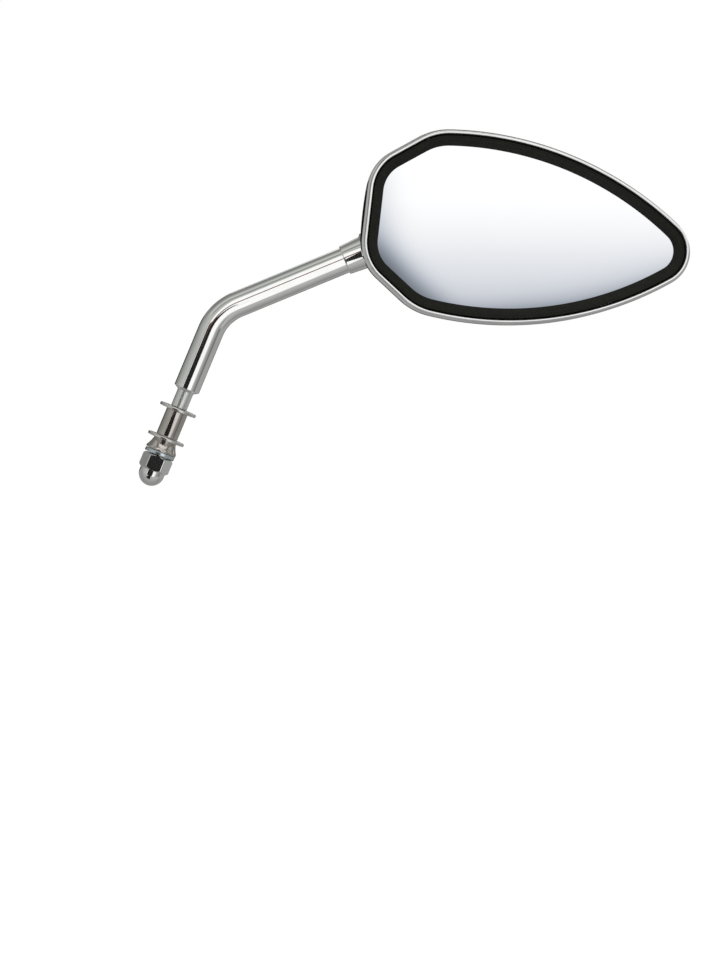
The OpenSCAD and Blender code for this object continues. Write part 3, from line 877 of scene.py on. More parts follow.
@dataclass
class StudHardware:
    """The washers and spacers on the stud, and the cap nut below them."""

    finishes: Finishes
    bore_r: float = 4.3
    washer_r: float = 9.2
    washer_t: float = 1.5
    upper_washer_top: float = -8.8
    sleeve_r: float = 5.35
    sleeve_l: float = 13.7
    sleeve_top: float = -10.3
    lower_washer_top: float = -24.0
    cone_neck_r: float = 5.6
    cone_foot_r: float = 7.6
    cone_l: float = 5.9
    cone_top: float = -25.5
    lock_r: float = 7.5
    lock_l: float = 2.4
    lock_wire: float = 1.75
    lock_rise: float = 0.6
    lock_lean: float = 0.12
    lock_top: float = -31.4
    cap_af: float = 13.3
    cap_hex: float = 7.5
    cap_l: float = 15.2
    dome_r: float = 6.2

    def ring(
        self, node: str, outer: float, top: float, thick: float, material: Material, slot: Slot
    ) -> None:
        """One turned ring with eased edges.

        Args:
            node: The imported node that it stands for.
            outer: Its outer radius.
            top: Height of its upper face.
            thick: Its length along the stud.
            material: Its material.
            slot: Its material slot.
        """
        low = top - thick
        corners = [(self.bore_r, low), (outer, low), (outer, top), (self.bore_r, top)]
        profile = eased(corners, min(0.45, thick * 0.3))
        fitted(
            mesh_piece(node + "_ring", *lathed(profile), material, 40), Body.HARDWARE, slot, node
        )

    def cone(self) -> None:
        """The cone spacer, flared in a hollow curve down to a short rim."""
        top, foot, neck, rim, hollow = self.cone_top, self.cone_foot_r, self.cone_neck_r, 0.9, 1.5
        low = top - self.cone_l
        flare = [
            (foot + (neck - foot) * (1 - (1 - t) ** hollow), low + rim + (self.cone_l - rim) * t)
            for t in np.linspace(0.04, 0.96, 18)
        ]
        profile = [
            (self.bore_r, low), (foot - 0.25, low), (foot, low + 0.2), (foot, low + 0.7),
            (foot - 0.08, low + rim), *flare, (neck, top - 0.1), (neck - 0.1, top),
            (self.bore_r, top),
        ]
        piece = mesh_piece("cone_spacer_turned", *lathed(profile), self.finishes.spacer, 35)
        fitted(piece, Body.HARDWARE, Slot.SPACER, "cone_spacer")

    def lock(self) -> None:
        """The split lock washer: a square wire wound once, its ends a little apart."""
        inner, outer, wire = self.bore_r, self.lock_r, self.lock_wire
        clear, corner_r, first, last = 0.03, 0.35, math.radians(3), math.radians(351)
        low = self.lock_top - self.lock_l + clear
        section = eased([(inner, 0), (outer, 0), (outer, wire), (inner, wire)], corner_r)
        turns = np.linspace(first, last, 140)
        points = np.array([
            (
                r * math.cos(a + self.lock_lean * z), r * math.sin(a + self.lock_lean * z),
                low + z + self.lock_rise * k / (len(turns) - 1),
            )
            for k, a in enumerate(turns) for r, z in section
        ])
        faces = banded(len(turns), len(section), caps=True, inverted=True)
        piece = mesh_piece("lock_washer_wire", points, faces, self.finishes.lock_washer, 40)
        fitted(piece, Body.HARDWARE, Slot.LOCK_WASHER, "lock_washer")

    def cap(self) -> None:
        """The cap nut: a hexagon with turned-off corners, and a dome below it."""
        flat, foot, dome_r = self.cap_af / 2, self.cap_hex, self.dome_r
        rows: list[Row] = [
            (self.bore_r - 0.3, 0.0, False), (flat - 0.5, 0.0, False), (flat - 0.12, 0.03, False),
            *hexagon_rows(flat, foot, 1.3, 1.15, 4),
            (dome_r + 0.35, foot - 0.02, False), (dome_r, foot + 0.15, False),
        ]
        for a in np.linspace(0.02, 1, 26) * math.pi / 2:
            rows.append((dome_r * math.cos(a), self.cap_l - dome_r + dome_r * math.sin(a), False))
        points, faces = six_sided(rows, flat, -1)
        points = placed(points, shift(0, 0, self.lock_top - self.lock_l - 0.05))
        piece = mesh_piece("cap_nut_body", points, faces, self.finishes.cap_nut, 28)
        fitted(piece, Body.CAP_NUT, Slot.CAP_NUT, "cap_nut")

    def build(self) -> None:
        """Builds the stack from the top down."""
        washer, spacer = (self.finishes.washer, Slot.WASHER), (self.finishes.spacer, Slot.SPACER)
        self.ring("upper_washer", self.washer_r, self.upper_washer_top, self.washer_t, *washer)
        self.ring("spacer_sleeve", self.sleeve_r, self.sleeve_top, self.sleeve_l, *spacer)
        self.ring("lower_washer", self.washer_r, self.lower_washer_top, self.washer_t, *washer)
        self.cone()
        self.lock()
        self.cap()


@dataclass
class CollarNut:
    """The skirted nut that locks the knuckle on the bar."""

    finishes: Finishes
    skirt_r: float = 7.25
    bore_r: float = 6.4
    flare: float = 0.62
    skirt_l: float = 10.5
    across_flats: float = 16.0
    hex_l: float = 6.2
    thread_r: float = 4.9

    def build(self) -> None:
        """Builds the nut as one turned body with a hexagon at its upper end."""
        flat, skirt, top, bore = self.across_flats / 2, self.skirt_r, self.skirt_l, self.bore_r
        hexagon = hexagon_rows(flat, self.hex_l, 1.1, 1.3, 3)
        rows: list[Row] = [
            (bore, 3.0, False), (bore, 0.25, False), (bore + 0.12, 0.02, False),
            (skirt - 0.55, 0.0, False), (skirt - 0.3, 0.07, False), (skirt - 0.1, 0.25, False),
            (skirt - 0.02, 0.5, False), (skirt, 0.8, False), (skirt + self.flare, top - 0.1, False),
            (flat - 0.1, top, False), (flat - 0.05, top + 0.02, False),
            *((r, top + z, cut) for r, z, cut in hexagon),
            (flat - 0.15, top + self.hex_l, False), (self.thread_r, top + self.hex_l, False),
        ]
        points, faces = six_sided(rows, flat, 1)
        points = placed(points, LAYOUT.upper_leg(LAYOUT.collar_at))
        piece = mesh_piece("collar_nut_body", points, faces, self.finishes.knuckle, 28)
        fitted(piece, Body.COLLAR_NUT, Slot.KNUCKLE, "collar_nut")


@dataclass
class Knuckle:
    """The mitred elbow between the bar and the ball, and the ball on its leg."""

    finishes: Finishes
    radius: float = 8.0
    barrel_l: float = 23.25
    thread_r: float = 4.9
    thread_l: float = 10.25
    leg_end: float = 11.7
    spigot_r: float = 4.0
    spigot_l: float = 8.2
    ball_r: float = 13.0
    ball_flat: float = 10.25
    counterbore_r: float = 4.7
    counterbore_at: float = 5.5
    screw_r: float = 2.8
    screw_seat: float = -1.7
    steps: int = 144

    def ring(self, r: float, z: float | None, seam: float = 0.0, on_leg: bool = False) -> Array:
        """One ring round the barrel or the leg.

        Args:
            r: Its radius.
            z: Its height, or None for a ring that follows the mitre's seam.
            seam: How far past the seam such a ring lies.
            on_leg: Whether it goes round the leg.

        Returns:
            Its points, in the elbow's frame.
        """
        bend = 180 - LAYOUT.elbow_angle
        angles = np.linspace(0, 2 * math.pi, self.steps, endpoint=False)
        x, y = r * np.cos(angles), r * np.sin(angles)
        slope = math.tan(math.radians(bend) / 2) * (-1 if on_leg else 1)
        height = y * slope + seam if z is None else np.full(self.steps, z)
        points = np.column_stack([x, y, height])
        return placed(points, turn("X", bend)) if on_leg else points

    def elbow(self) -> None:
        """A body that runs up the barrel, over the mitre's seam and down the leg."""
        outer, low, end = self.radius, -self.barrel_l, self.leg_end
        leg_r, spigot = outer - 0.03, self.spigot_r
        rings = [self.ring(r, z) for r, z in (
            (self.thread_r, low + self.thread_l), (self.thread_r, low), (outer - 0.45, low),
            (outer - 0.15, low + 0.1), (outer, low + 0.4),
            *((outer, z) for z in np.linspace(low + 3, -8, 6)),
        )]
        seams = ((outer, -0.6), (outer, -0.25), (outer - 0.05, 0.0))
        rings += [self.ring(r, None, seam) for r, seam in seams]
        rings += [self.ring(leg_r, None, seam, True) for seam in (0.25, 0.6)]
        rings += [self.ring(r, z, on_leg=True) for r, z in (
            *((leg_r, z) for z in np.linspace(7, end - 0.4, 4)),
            (outer - 0.15, end - 0.1), (outer - 0.4, end), (spigot, end),
            (spigot, end + self.spigot_l),
        )]
        points = placed(np.concatenate(rings), LAYOUT.elbow())
        faces = banded(len(rings), self.steps, caps=True)
        piece = mesh_piece("knuckle_elbow", points, faces, self.finishes.knuckle, 30)
        fitted(piece, Body.KNUCKLE, Slot.KNUCKLE, "knuckle")

    def ball(self) -> None:
        """The ball, flat where the leg meets it, with a counterbore in front."""
        low, r, bore = -self.ball_flat, self.ball_r, self.spigot_r + 0.05
        way = np.linspace(math.asin(low / r), math.acos(self.counterbore_r / r), 56)
        profile = [
            (bore, low), *((r * math.cos(a), r * math.sin(a)) for a in way),
            (self.counterbore_r, self.counterbore_at), (self.screw_r, self.counterbore_at),
            (self.screw_r, self.screw_seat), (bore, self.screw_seat),
        ]
        points, faces = lathed(profile, self.steps)
        points = placed(points, LAYOUT.ball())
        piece = mesh_piece("ball_turned", points, faces, self.finishes.knuckle, 30)
        fitted(piece, Body.BALL, Slot.BALL, "pivot_ball")

    def build(self) -> None:
        """Builds the elbow and the ball."""
        self.elbow()
        self.ball()


def soft_min(a: Array | float, b: Array | float, width: float) -> Array:
    """The lesser of two values, blended over a width."""
    return -width * np.logaddexp(-np.asarray(a) / width, -np.asarray(b) / width)


def eased_step(t: Array) -> Array:
    """0 below 0, 1 above 1, smooth between."""
    t = np.clip(t, 0, 1)
    return t * t * (3 - 2 * t)


def inside_arc(p: Array, centre: Array, r: float, start: float, stop: float) -> Array:
    """How far in from an arc points lie.

    Args:
        p: Points, the last axis of which holds their two numbers.
        centre: The arc's centre.
        r: Its radius.
        start: The angle where it starts.
        stop: The angle where it stops.

    Returns:
        The distances, and a very large one outside the arc's own fan.
    """
    to = p - centre
    a = np.arctan2(to[..., 1], to[..., 0])
    return np.where((a >= start) & (a <= stop), r - np.linalg.norm(to, axis=-1), 999)


@dataclass
class HeadForm:
    """The head's outline, made of tangent arcs, and the depths of its back."""

    length: float = 161.0
    width: float = 92.6
    widest_at: float = 55.0
    tip_r: float = 17.6
    corner_r: float = 31.0
    blunt_r: float = 23.0
    blunt_flat: float = 24.0
    cheek_angle: float = 35.6
    ball_at: float = 37.0
    ball_depth: float = 26.0
    side_wall: float = 6.8
    scoop_depth: float = 9.2
    scoop_slope: float = 2.0
    shoulder_depth: float = 27.2
    shoulder_rise: float = 9.5
    bevel_slope: float = 1.25
    spine_from: float = 46.0
    spine_stop: float = 157.0
    spine_tip: float = 9.8
    spine_half: float = 8.6
    spine_taper: float = 0.03
    spine_flare: float = 3.9
    flare_run: float = 14.0
    spine_crease: float = 1.3
    crease_run: float = 12.0
    cove_w: float = 8.0
    cove_power: float = 2.2
    scoop_end_r: float = 14.5
    scoop_end_at: float = 56.0
    scoop_end_out: float = 30.0
    scoop_squash: float = 0.5
    edge_flat: float = 0.5
    edge_run: float = 1.6
    collar_r: float = 14.15
    collar_foot_r: float = 19.65
    collar_top: float = 32.3
    blend: float = 0.7
    foot_blend: float = 0.55
    top_blend: float = 0.12

    def __post_init__(self) -> None:
        """Works out the arcs' centres."""
        half, run = self.width / 2, self.length - self.widest_at
        self.side_r = (run**2 + half**2 - 2 * self.tip_r * run) / (2 * (half - self.tip_r))
        fall = self.shoulder_depth - self.spine_tip
        self.spine_slope = fall / (self.spine_stop - self.spine_from)
        self.side_c = np.array([self.widest_at, half - self.side_r])
        self.tip_c = np.array([self.length - self.tip_r, 0.0])
        self.blunt_c = np.array([self.blunt_r, self.blunt_flat / 2])
        cheek = math.radians(self.cheek_angle)
        self.cheek_dir = np.array([math.cos(cheek), math.sin(cheek)])
        self.cheek_out = np.array([-math.sin(cheek), math.cos(cheek)])
        self.cheek_point = self.blunt_c + self.cheek_out * self.blunt_r
        base = self.blunt_c + self.cheek_out * (self.blunt_r - self.corner_r)
        off = base - self.side_c
        reach = self.side_r - self.corner_r
        along = off @ self.cheek_dir
        on_side = -along + math.sqrt(along**2 - off @ off + reach**2)
        self.corner_c = base + self.cheek_dir * on_side
        self.cheek_turn = math.radians(90 + self.cheek_angle)
        out, tip = self.corner_c - self.side_c, self.tip_c - self.side_c
        self.side_start, self.side_stop = math.atan2(out[1], out[0]), math.atan2(tip[1], tip[0])

    def outline(self, count: int) -> tuple[Array, Array]:
        """Evenly spaced points round the rim, with their outward normals.

        Args:
            count: How many points.

        Returns:
            Points and normals, anticlockwise from the tip.
        """
        points: list[Array] = []
        normals: list[Array] = []
        flat_steps, arc_step = 120, 0.05

        def arc(centre: Array, r: float, start: float, stop: float) -> None:
            """Adds one arc in fine steps."""
            for a in np.arange(start, stop, math.copysign(arc_step / r, stop - start)):
                normals.append(np.array([math.cos(a), math.sin(a)]))
                points.append(centre + r * normals[-1])

        arc(self.tip_c, self.tip_r, 0.0, self.side_stop)
        arc(self.side_c, self.side_r, self.side_stop, self.side_start)
        arc(self.corner_c, self.corner_r, self.side_start, self.cheek_turn)
        end = self.corner_c + self.cheek_out * self.corner_r
        for t in np.linspace(0, 1, flat_steps, endpoint=False):
            points.append(end + (self.cheek_point - end) * t)
            normals.append(self.cheek_out)
        arc(self.blunt_c, self.blunt_r, self.cheek_turn, math.pi)
        for t in np.linspace(0, 1, flat_steps):
            points.append(np.array([0.0, self.blunt_flat / 2 * (1 - t)]))
            normals.append(np.array([-1.0, 0.0]))
        upper = np.column_stack([points, normals])
        lower = (upper * [1, -1, 1, -1])[::-1][1:-1]
        whole = np.concatenate([upper, lower, upper[:1]])
        steps = np.linalg.norm(np.diff(whole[:, :2], axis=0), axis=1)
        along = np.concatenate([[0], np.cumsum(steps)])
        want = np.linspace(0, along[-1], count, endpoint=False)
        ring = np.stack([np.interp(want, along, whole[:, i]) for i in range(4)], 1)
        normal = ring[:, 2:]
        return ring[:, :2], normal / np.linalg.norm(normal, axis=1, keepdims=True)

    def blunt_dist(self, u: Array, w: Array) -> Array:
        """How far in from the blunt side and the cheeks points lie.

        Args:
            u: Places along the head's axis, from the blunt side.
            w: Places across it, without their sign.

        Returns:
            The distances.
        """
        p = np.stack([u, w], -1)
        cheek = (self.cheek_point - p) @ self.cheek_out
        blunt = inside_arc(p, self.blunt_c, self.blunt_r, self.cheek_turn, math.pi)
        return np.minimum(np.minimum(u, cheek), blunt)

    def edge_dist(self, u: Array, w: Array) -> Array:
        """How far in from the outline points lie.

        Args:
            u: Places along the head's axis, from the blunt side.
            w: Places across it, without their sign.

        Returns:
            The distances.
        """
        p = np.stack([u, w], -1)
        side = self.side_r - np.linalg.norm(p - self.side_c, axis=-1)
        corner = inside_arc(p, self.corner_c, self.corner_r, self.side_start, self.cheek_turn)
        tip = inside_arc(p, self.tip_c, self.tip_r, -math.pi, self.side_stop)
        return np.maximum(0, np.minimum.reduce([self.blunt_dist(u, w), side, corner, tip]))

    def high_form(self, u: Array, w: Array, e: Array, edge: Array) -> Array:
        """Depth of the spine, the shoulder and the bevelled cheeks, without the scoops.

        Args:
            u: Places along the head's axis, from the blunt side.
            w: Places across it, without their sign.
            e: How far in from the outline they lie.
            edge: The spine's half width there.

        Returns:
            The depths.
        """
        rise = self.shoulder_depth - self.side_wall + 1
        shoulder = self.side_wall + rise * (1 - np.exp(-e / self.shoulder_rise))
        bevel = self.side_wall + self.bevel_slope * self.blunt_dist(u, w)
        fall = self.spine_tip + self.spine_slope * (self.spine_stop - u)
        line = soft_min(self.shoulder_depth, fall, self.blend)
        start = np.clip((u - self.scoop_end_at) / self.crease_run, 0, 1)
        spine = line - self.spine_crease * np.minimum(1, w / edge) * start
        return soft_min(soft_min(spine, shoulder, self.blend), bevel, self.blend)

    def back(self, u: Array, v: Array) -> Array:
        """Depth of the back behind the rim's front.

        Args:
            u: Places along the head's axis, from the blunt side.
            v: Places across it.

        Returns:
            The depths.
        """
        w = np.abs(v)
        e = self.edge_dist(u, w)
        past = u - self.scoop_end_at
        edge = (
            self.spine_half + self.spine_taper * np.maximum(0, self.spine_stop - u)
            + self.spine_flare * np.exp(-np.maximum(0, past) / self.flare_run)
        )
        high = self.high_form(u, w, e, edge)
        low = soft_min(self.scoop_depth, self.side_wall + self.scoop_slope * e, self.blend)
        out = w - self.scoop_end_out
        ring = self.scoop_end_r - np.hypot(past, out * np.where(out > 0, self.scoop_squash, 1.0))
        scoop = np.where(past >= 0, w - edge, ring)
        cove = np.where(scoop <= 0, 1, np.clip(1 - scoop / self.cove_w, 0, 1) ** self.cove_power)
        bottom = np.minimum(high, low)
        body = np.maximum(self.side_wall, bottom + (high - bottom) * cove)
        lifted = eased_step((e - self.edge_flat) / self.edge_run)
        return self.side_wall + (body - self.side_wall) * lifted

    def with_collar(self, u: Array, v: Array) -> Array:
        """The back's depth with the coned collar round the ball.

        Args:
            u: Places along the head's axis, from the blunt side.
            v: Places across it.

        Returns:
            The depths.
        """
        rho = np.hypot(u - self.ball_at, v)
        slope = (self.collar_top - self.shoulder_depth) / (self.collar_foot_r - self.collar_r)
        cone = self.collar_top - slope * (rho - self.collar_r)
        body = -soft_min(-self.back(u, v), -cone, self.foot_blend)
        return soft_min(body, self.collar_top, self.top_blend)


@dataclass
class MirrorHead:
    """The head's shell, gasket and glass."""

    finishes: Finishes
    form: HeadForm = field(default_factory=HeadForm)
    columns: int = 520
    rim_w: float = 3.0
    gasket_w: float = 5.0
    recess: float = 1.9
    glass_t: float = 2.0
    glass_r: float = 1400.0
    opening_r: float = 12.15
    socket_r: float = 14.65
    socket_wall: float = 2.3
    socket_top: float = 13.2
    socket_floor: float = -5.0
    wall: float = 2.4
    wall_lean: float = 1.25
    ledge_w: float = 2.6
    # The rim from the side wall round its bead to the ledge, as (inset, depth)
    rim: Profile = (
        (0.28, 6.35), (0.1, 5.9), (0.02, 5.4), (0, 5.0), (0, 3.6), (0, 2.9), (0.04, 2.65),
        (0.12, 2.45), (0.3, 2.2), (0.55, 1.9), (0.75, 1.65), (0.84, 1.5), (0.88, 1.2),
        (0.93, 0.8), (1.0, 0.42), (1.08, 0.18), (1.18, 0.06), (1.28, 0.03), (1.4, 0.03),
        (1.85, 0.03), (1.97, 0.05), (2.07, 0.13), (2.16, 0.3), (2.28, 0.58), (2.45, 0.92),
        (2.7, 1.4), (2.93, 1.85), (3.0, 2.4),
    )
    # The gasket's ridges as (inset, depth, share that the glass's depth has in it)
    ridges: tuple[Triple, ...] = (
        (3.03, 5.9, 0), (3.03, 1.75, 0), (3.1, 1.3, 0), (3.3, 1.02, 0), (3.55, 0.92, 0),
        (3.8, 1.0, 0), (4.0, 1.22, 0), (4.12, 1.34, 0), (4.3, 1.3, 0.05), (4.6, 1.16, 0.1),
        (5.0, 1.12, 0.15), (5.4, 1.2, 0.2), (5.62, 1.34, 0.25), (5.75, 1.42, 0.28),
        (5.95, 1.38, 0.33), (6.3, 1.26, 0.45), (6.7, 1.25, 0.6), (7.1, 1.28, 0.75),
        (7.5, 1.32, 0.9), (7.8, 1.4, 1.0), (7.95, 1.55, 1.0), (8.0, 1.9, 1.0),
    )

    def __post_init__(self) -> None:
        """Takes the outline once, and the ways out to it from the ball."""
        self.ring, self.normal = self.form.outline(self.columns)
        self.ledge = self.recess + self.glass_t + 2.2
        self.hub = np.array([self.form.ball_at, 0.0])
        to = self.inset(0.55) - self.hub
        self.reach = np.linalg.norm(to, axis=1, keepdims=True)
        self.aim = to / self.reach

    def local(self, uv: Array, depth: Array | float) -> Array:
        """Points at places on the head's drawing and depths behind its front, round the ball."""
        d = np.broadcast_to(depth, (len(uv),))
        return np.column_stack([uv - self.hub, self.form.ball_depth - d])

    def inset(self, amount: float) -> Array:
        """The outline, that far in."""
        return self.ring - amount * self.normal

    def glass_depth(self, uv: Array) -> Array:
        """Depth of the convex glass's front."""
        return self.recess + np.sum((uv - [self.form.length / 2, 0]) ** 2, 1) / (2 * self.glass_r)

    def finished(
        self, name: str, rings: Sequence[Array], faces: Faces, material: Material, crease: float,
        slot: Slot, node: str,
    ) -> None:
        """Sets a stack of rings in its place on the head, as one piece.

        Args:
            name: The piece's name.
            rings: Its rings of points.
            faces: Its faces.
            material: Its material.
            crease: Edges that turn more than this many degrees stay sharp.
            slot: Its material slot.
            node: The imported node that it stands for.
        """
        points = placed(np.concatenate(rings), LAYOUT.head())
        fitted(mesh_piece(name, points, faces, material, crease), Body.HEAD, slot, node)

    def back_rings(self) -> list[Array]:
        """The back, from the opening for the ball out to the rim.

        Returns:
            Rings, close together on the collar.
        """
        lip, land, foot, bunching, smoothings = 0.62, 1.6, 8.5, 0.036, 5
        collar = np.concatenate([
            np.linspace(0, lip, 4)[:-1], np.linspace(lip, land, 5)[:-1],
            np.linspace(land, foot, 16),
        ])
        first, count = self.opening_r + foot, len(collar)
        radii = [np.full((self.columns, 1), self.opening_r + d) for d in collar]
        for t in np.linspace(0, 1, 92)[1:]:
            share = t - bunching * math.sin(2 * math.pi * t)
            radii.append(first + (self.reach - first) * share)
        uvs = [self.hub + self.aim * r for r in radii]
        depths = np.array([self.form.with_collar(*uv.T) for uv in uvs])
        rounding = np.array([[0.3], [0.12], [0.03], [0.0]])
        depths[:4] = np.minimum(depths[:4], self.form.collar_top - rounding)
        for _ in range(smoothings):
            inner = depths[count:-2]
            around = (np.roll(inner, 1, 1) + np.roll(inner, -1, 1)) / 2
            across = (depths[count - 1:-3] + depths[count + 1:-1]) / 2
            depths[count:-2] = inner * 0.5 + around * 0.25 + across * 0.25
        return [self.local(uv, d) for uv, d in zip(uvs, depths)]

    def inner_rings(self) -> list[Array]:
        """The inside, from the ledge in to the socket.

        Returns:
            Rings at a wall's thickness below the back.
        """
        low, high = self.ledge + 0.3, self.form.shoulder_depth - self.wall
        to = self.inset(self.rim_w + self.ledge_w + 0.2) - self.hub
        length = np.linalg.norm(to, axis=1, keepdims=True)
        inward = self.socket_r + self.socket_wall - length
        rings = [self.local(self.hub + to, low)]
        for s in np.linspace(0, 1, 26)[1:]:
            uv = self.hub + to / length * (length + inward * s)
            depth = self.form.back(*uv.T) - self.wall * self.wall_lean
            rings.append(self.local(uv, np.clip(depth, low, high)))
        return rings

    def socket_rings(self) -> list[Array]:
        """The round socket that holds the ball, with its hollow floor.

        Returns:
            Rings from the socket's outer wall in to the opening.
        """
        wall, bore, top, floor = self.socket_wall, self.socket_r, self.socket_top, self.socket_floor
        rows = [(bore + wall, top), (bore, top), (bore, 0.2)]
        rows += [(math.sqrt(bore**2 - z**2), z) for z in np.linspace(-0.8, floor, 8)]
        rows.append((self.opening_r, floor))
        return [np.column_stack([self.aim * r, np.full(self.columns, z)]) for r, z in rows]

    def shell(self) -> None:
        """The shell: the back, the beaded rim, the ledge, the inside and the socket."""
        ledge = ((self.rim_w, self.ledge), (self.rim_w + self.ledge_w, self.ledge))
        rim = [self.local(self.inset(i), d) for i, d in (*self.rim, *ledge)]
        rings = [*self.back_rings(), *rim, *self.inner_rings(), *self.socket_rings()]
        faces = banded(len(rings), self.columns, loop=True)
        self.finished(
            "head_shell_cast", rings, faces, self.finishes.head, 38, Slot.HEAD, "head_shell"
        )

    def gasket(self) -> None:
        """The rubber gasket: an outer bead, a ridged slope and a lip on the glass's edge."""
        lip, seat, wrap, foot, lip_from = self.rim_w + self.gasket_w, 5.65, 7.4, 5.9, 7.6
        glass = self.glass_depth(self.inset(lip))
        on_glass, behind = glass - 0.02, glass + self.glass_t + 0.08
        rows = []
        for i, plain, share in self.ridges:
            depth = plain * (1 - share) + (glass - 0.3) * share
            rows.append((i, np.minimum(depth, on_glass) if i > lip_from else depth))
        rows += [(lip, on_glass), (seat, on_glass), (seat, behind), (wrap, behind), (wrap, foot)]
        rings = [self.local(self.inset(i), d) for i, d in rows]
        faces = banded(len(rings), self.columns, loop=True)
        self.finished(
            "gasket_moulded", rings, faces, self.finishes.gasket, 50, Slot.GASKET, "glass_gasket"
        )

    def glass(self) -> None:
        """The convex glass, a slice of a large sphere cut to the outline."""
        middle = np.array([self.form.length / 2, 0.0])
        out = self.inset(self.rim_w + self.gasket_w / 2 + 0.2) - middle
        front = [(s, 0.0) for s in np.linspace(0.0, 1.0, 40)[1:]]
        rear = [(s, self.glass_t) for s in np.linspace(1.0, 0.0, 12)[:-1]]
        rings: list[Array] = []
        for s, behind in (*front, *rear):
            uv = middle + out * s
            rings.append(self.local(uv, self.glass_depth(uv) + behind))
        faces = banded(len(rings), self.columns, caps=True, inverted=True)
        self.finished(
            "mirror_glass_pane", rings, faces, self.finishes.mirror, 30, Slot.MIRROR,
            "mirror_glass",
        )

    def build(self) -> None:
        """Builds the shell, the gasket and the glass."""
        self.shell()
        self.gasket()
        self.glass()


# Studio -------------------------------------------------------------------------------------


def panel(name: str, centre: Triple, across: Triple, up: Triple, material: Material) -> Piece:
    """A four-sided panel of the studio.

    Args:
        name: The panel's name.
        centre: Its middle, in metres.
        across: From its middle to the middle of its side.
        up: From its middle to the middle of its top.
        material: Its material.

    Returns:
        The new object.
    """
    c, a, b = Vector(centre), Vector(across), Vector(up)
    mesh = bpy.data.meshes.new(name)
    mesh.from_pydata([c - a - b, c + a - b, c + a + b, c - a + b], [], [(0, 1, 2, 3)])
    mesh.materials.append(material)
    made = linked(name, mesh)
    return made


@dataclass
class Card:
    """A plain card in the studio that only shows in reflections. Its places are in metres."""

    name: str
    centre: Triple
    across: Triple
    up: Triple
    glow: Material | float
    tint: Triple = (1.0, 1.0, 1.0)

    def build(self) -> None:
        """Makes the card as one lit panel that only glossy rays see."""
        look = self.glow
        if not isinstance(look, bpy.types.Material):
            look = GlowSheet(self.name).glow(look, self.tint)
        card = panel(self.name, self.centre, self.across, self.up, look)
        for rays in ("camera", "diffuse", "transmission", "shadow", "volume_scatter"):
            setattr(card, "visible_" + rays, False)


@dataclass(frozen=True)
class Shade:
    """A darker band along one edge of the glass, in the softbox that fills it.

    The ways run right and down over the glass. The band starts at a place along them, and its
    weight falls away over its reach.
    """

    ways: tuple[float, float]
    start: float
    weight: float
    reach: float
    power: float


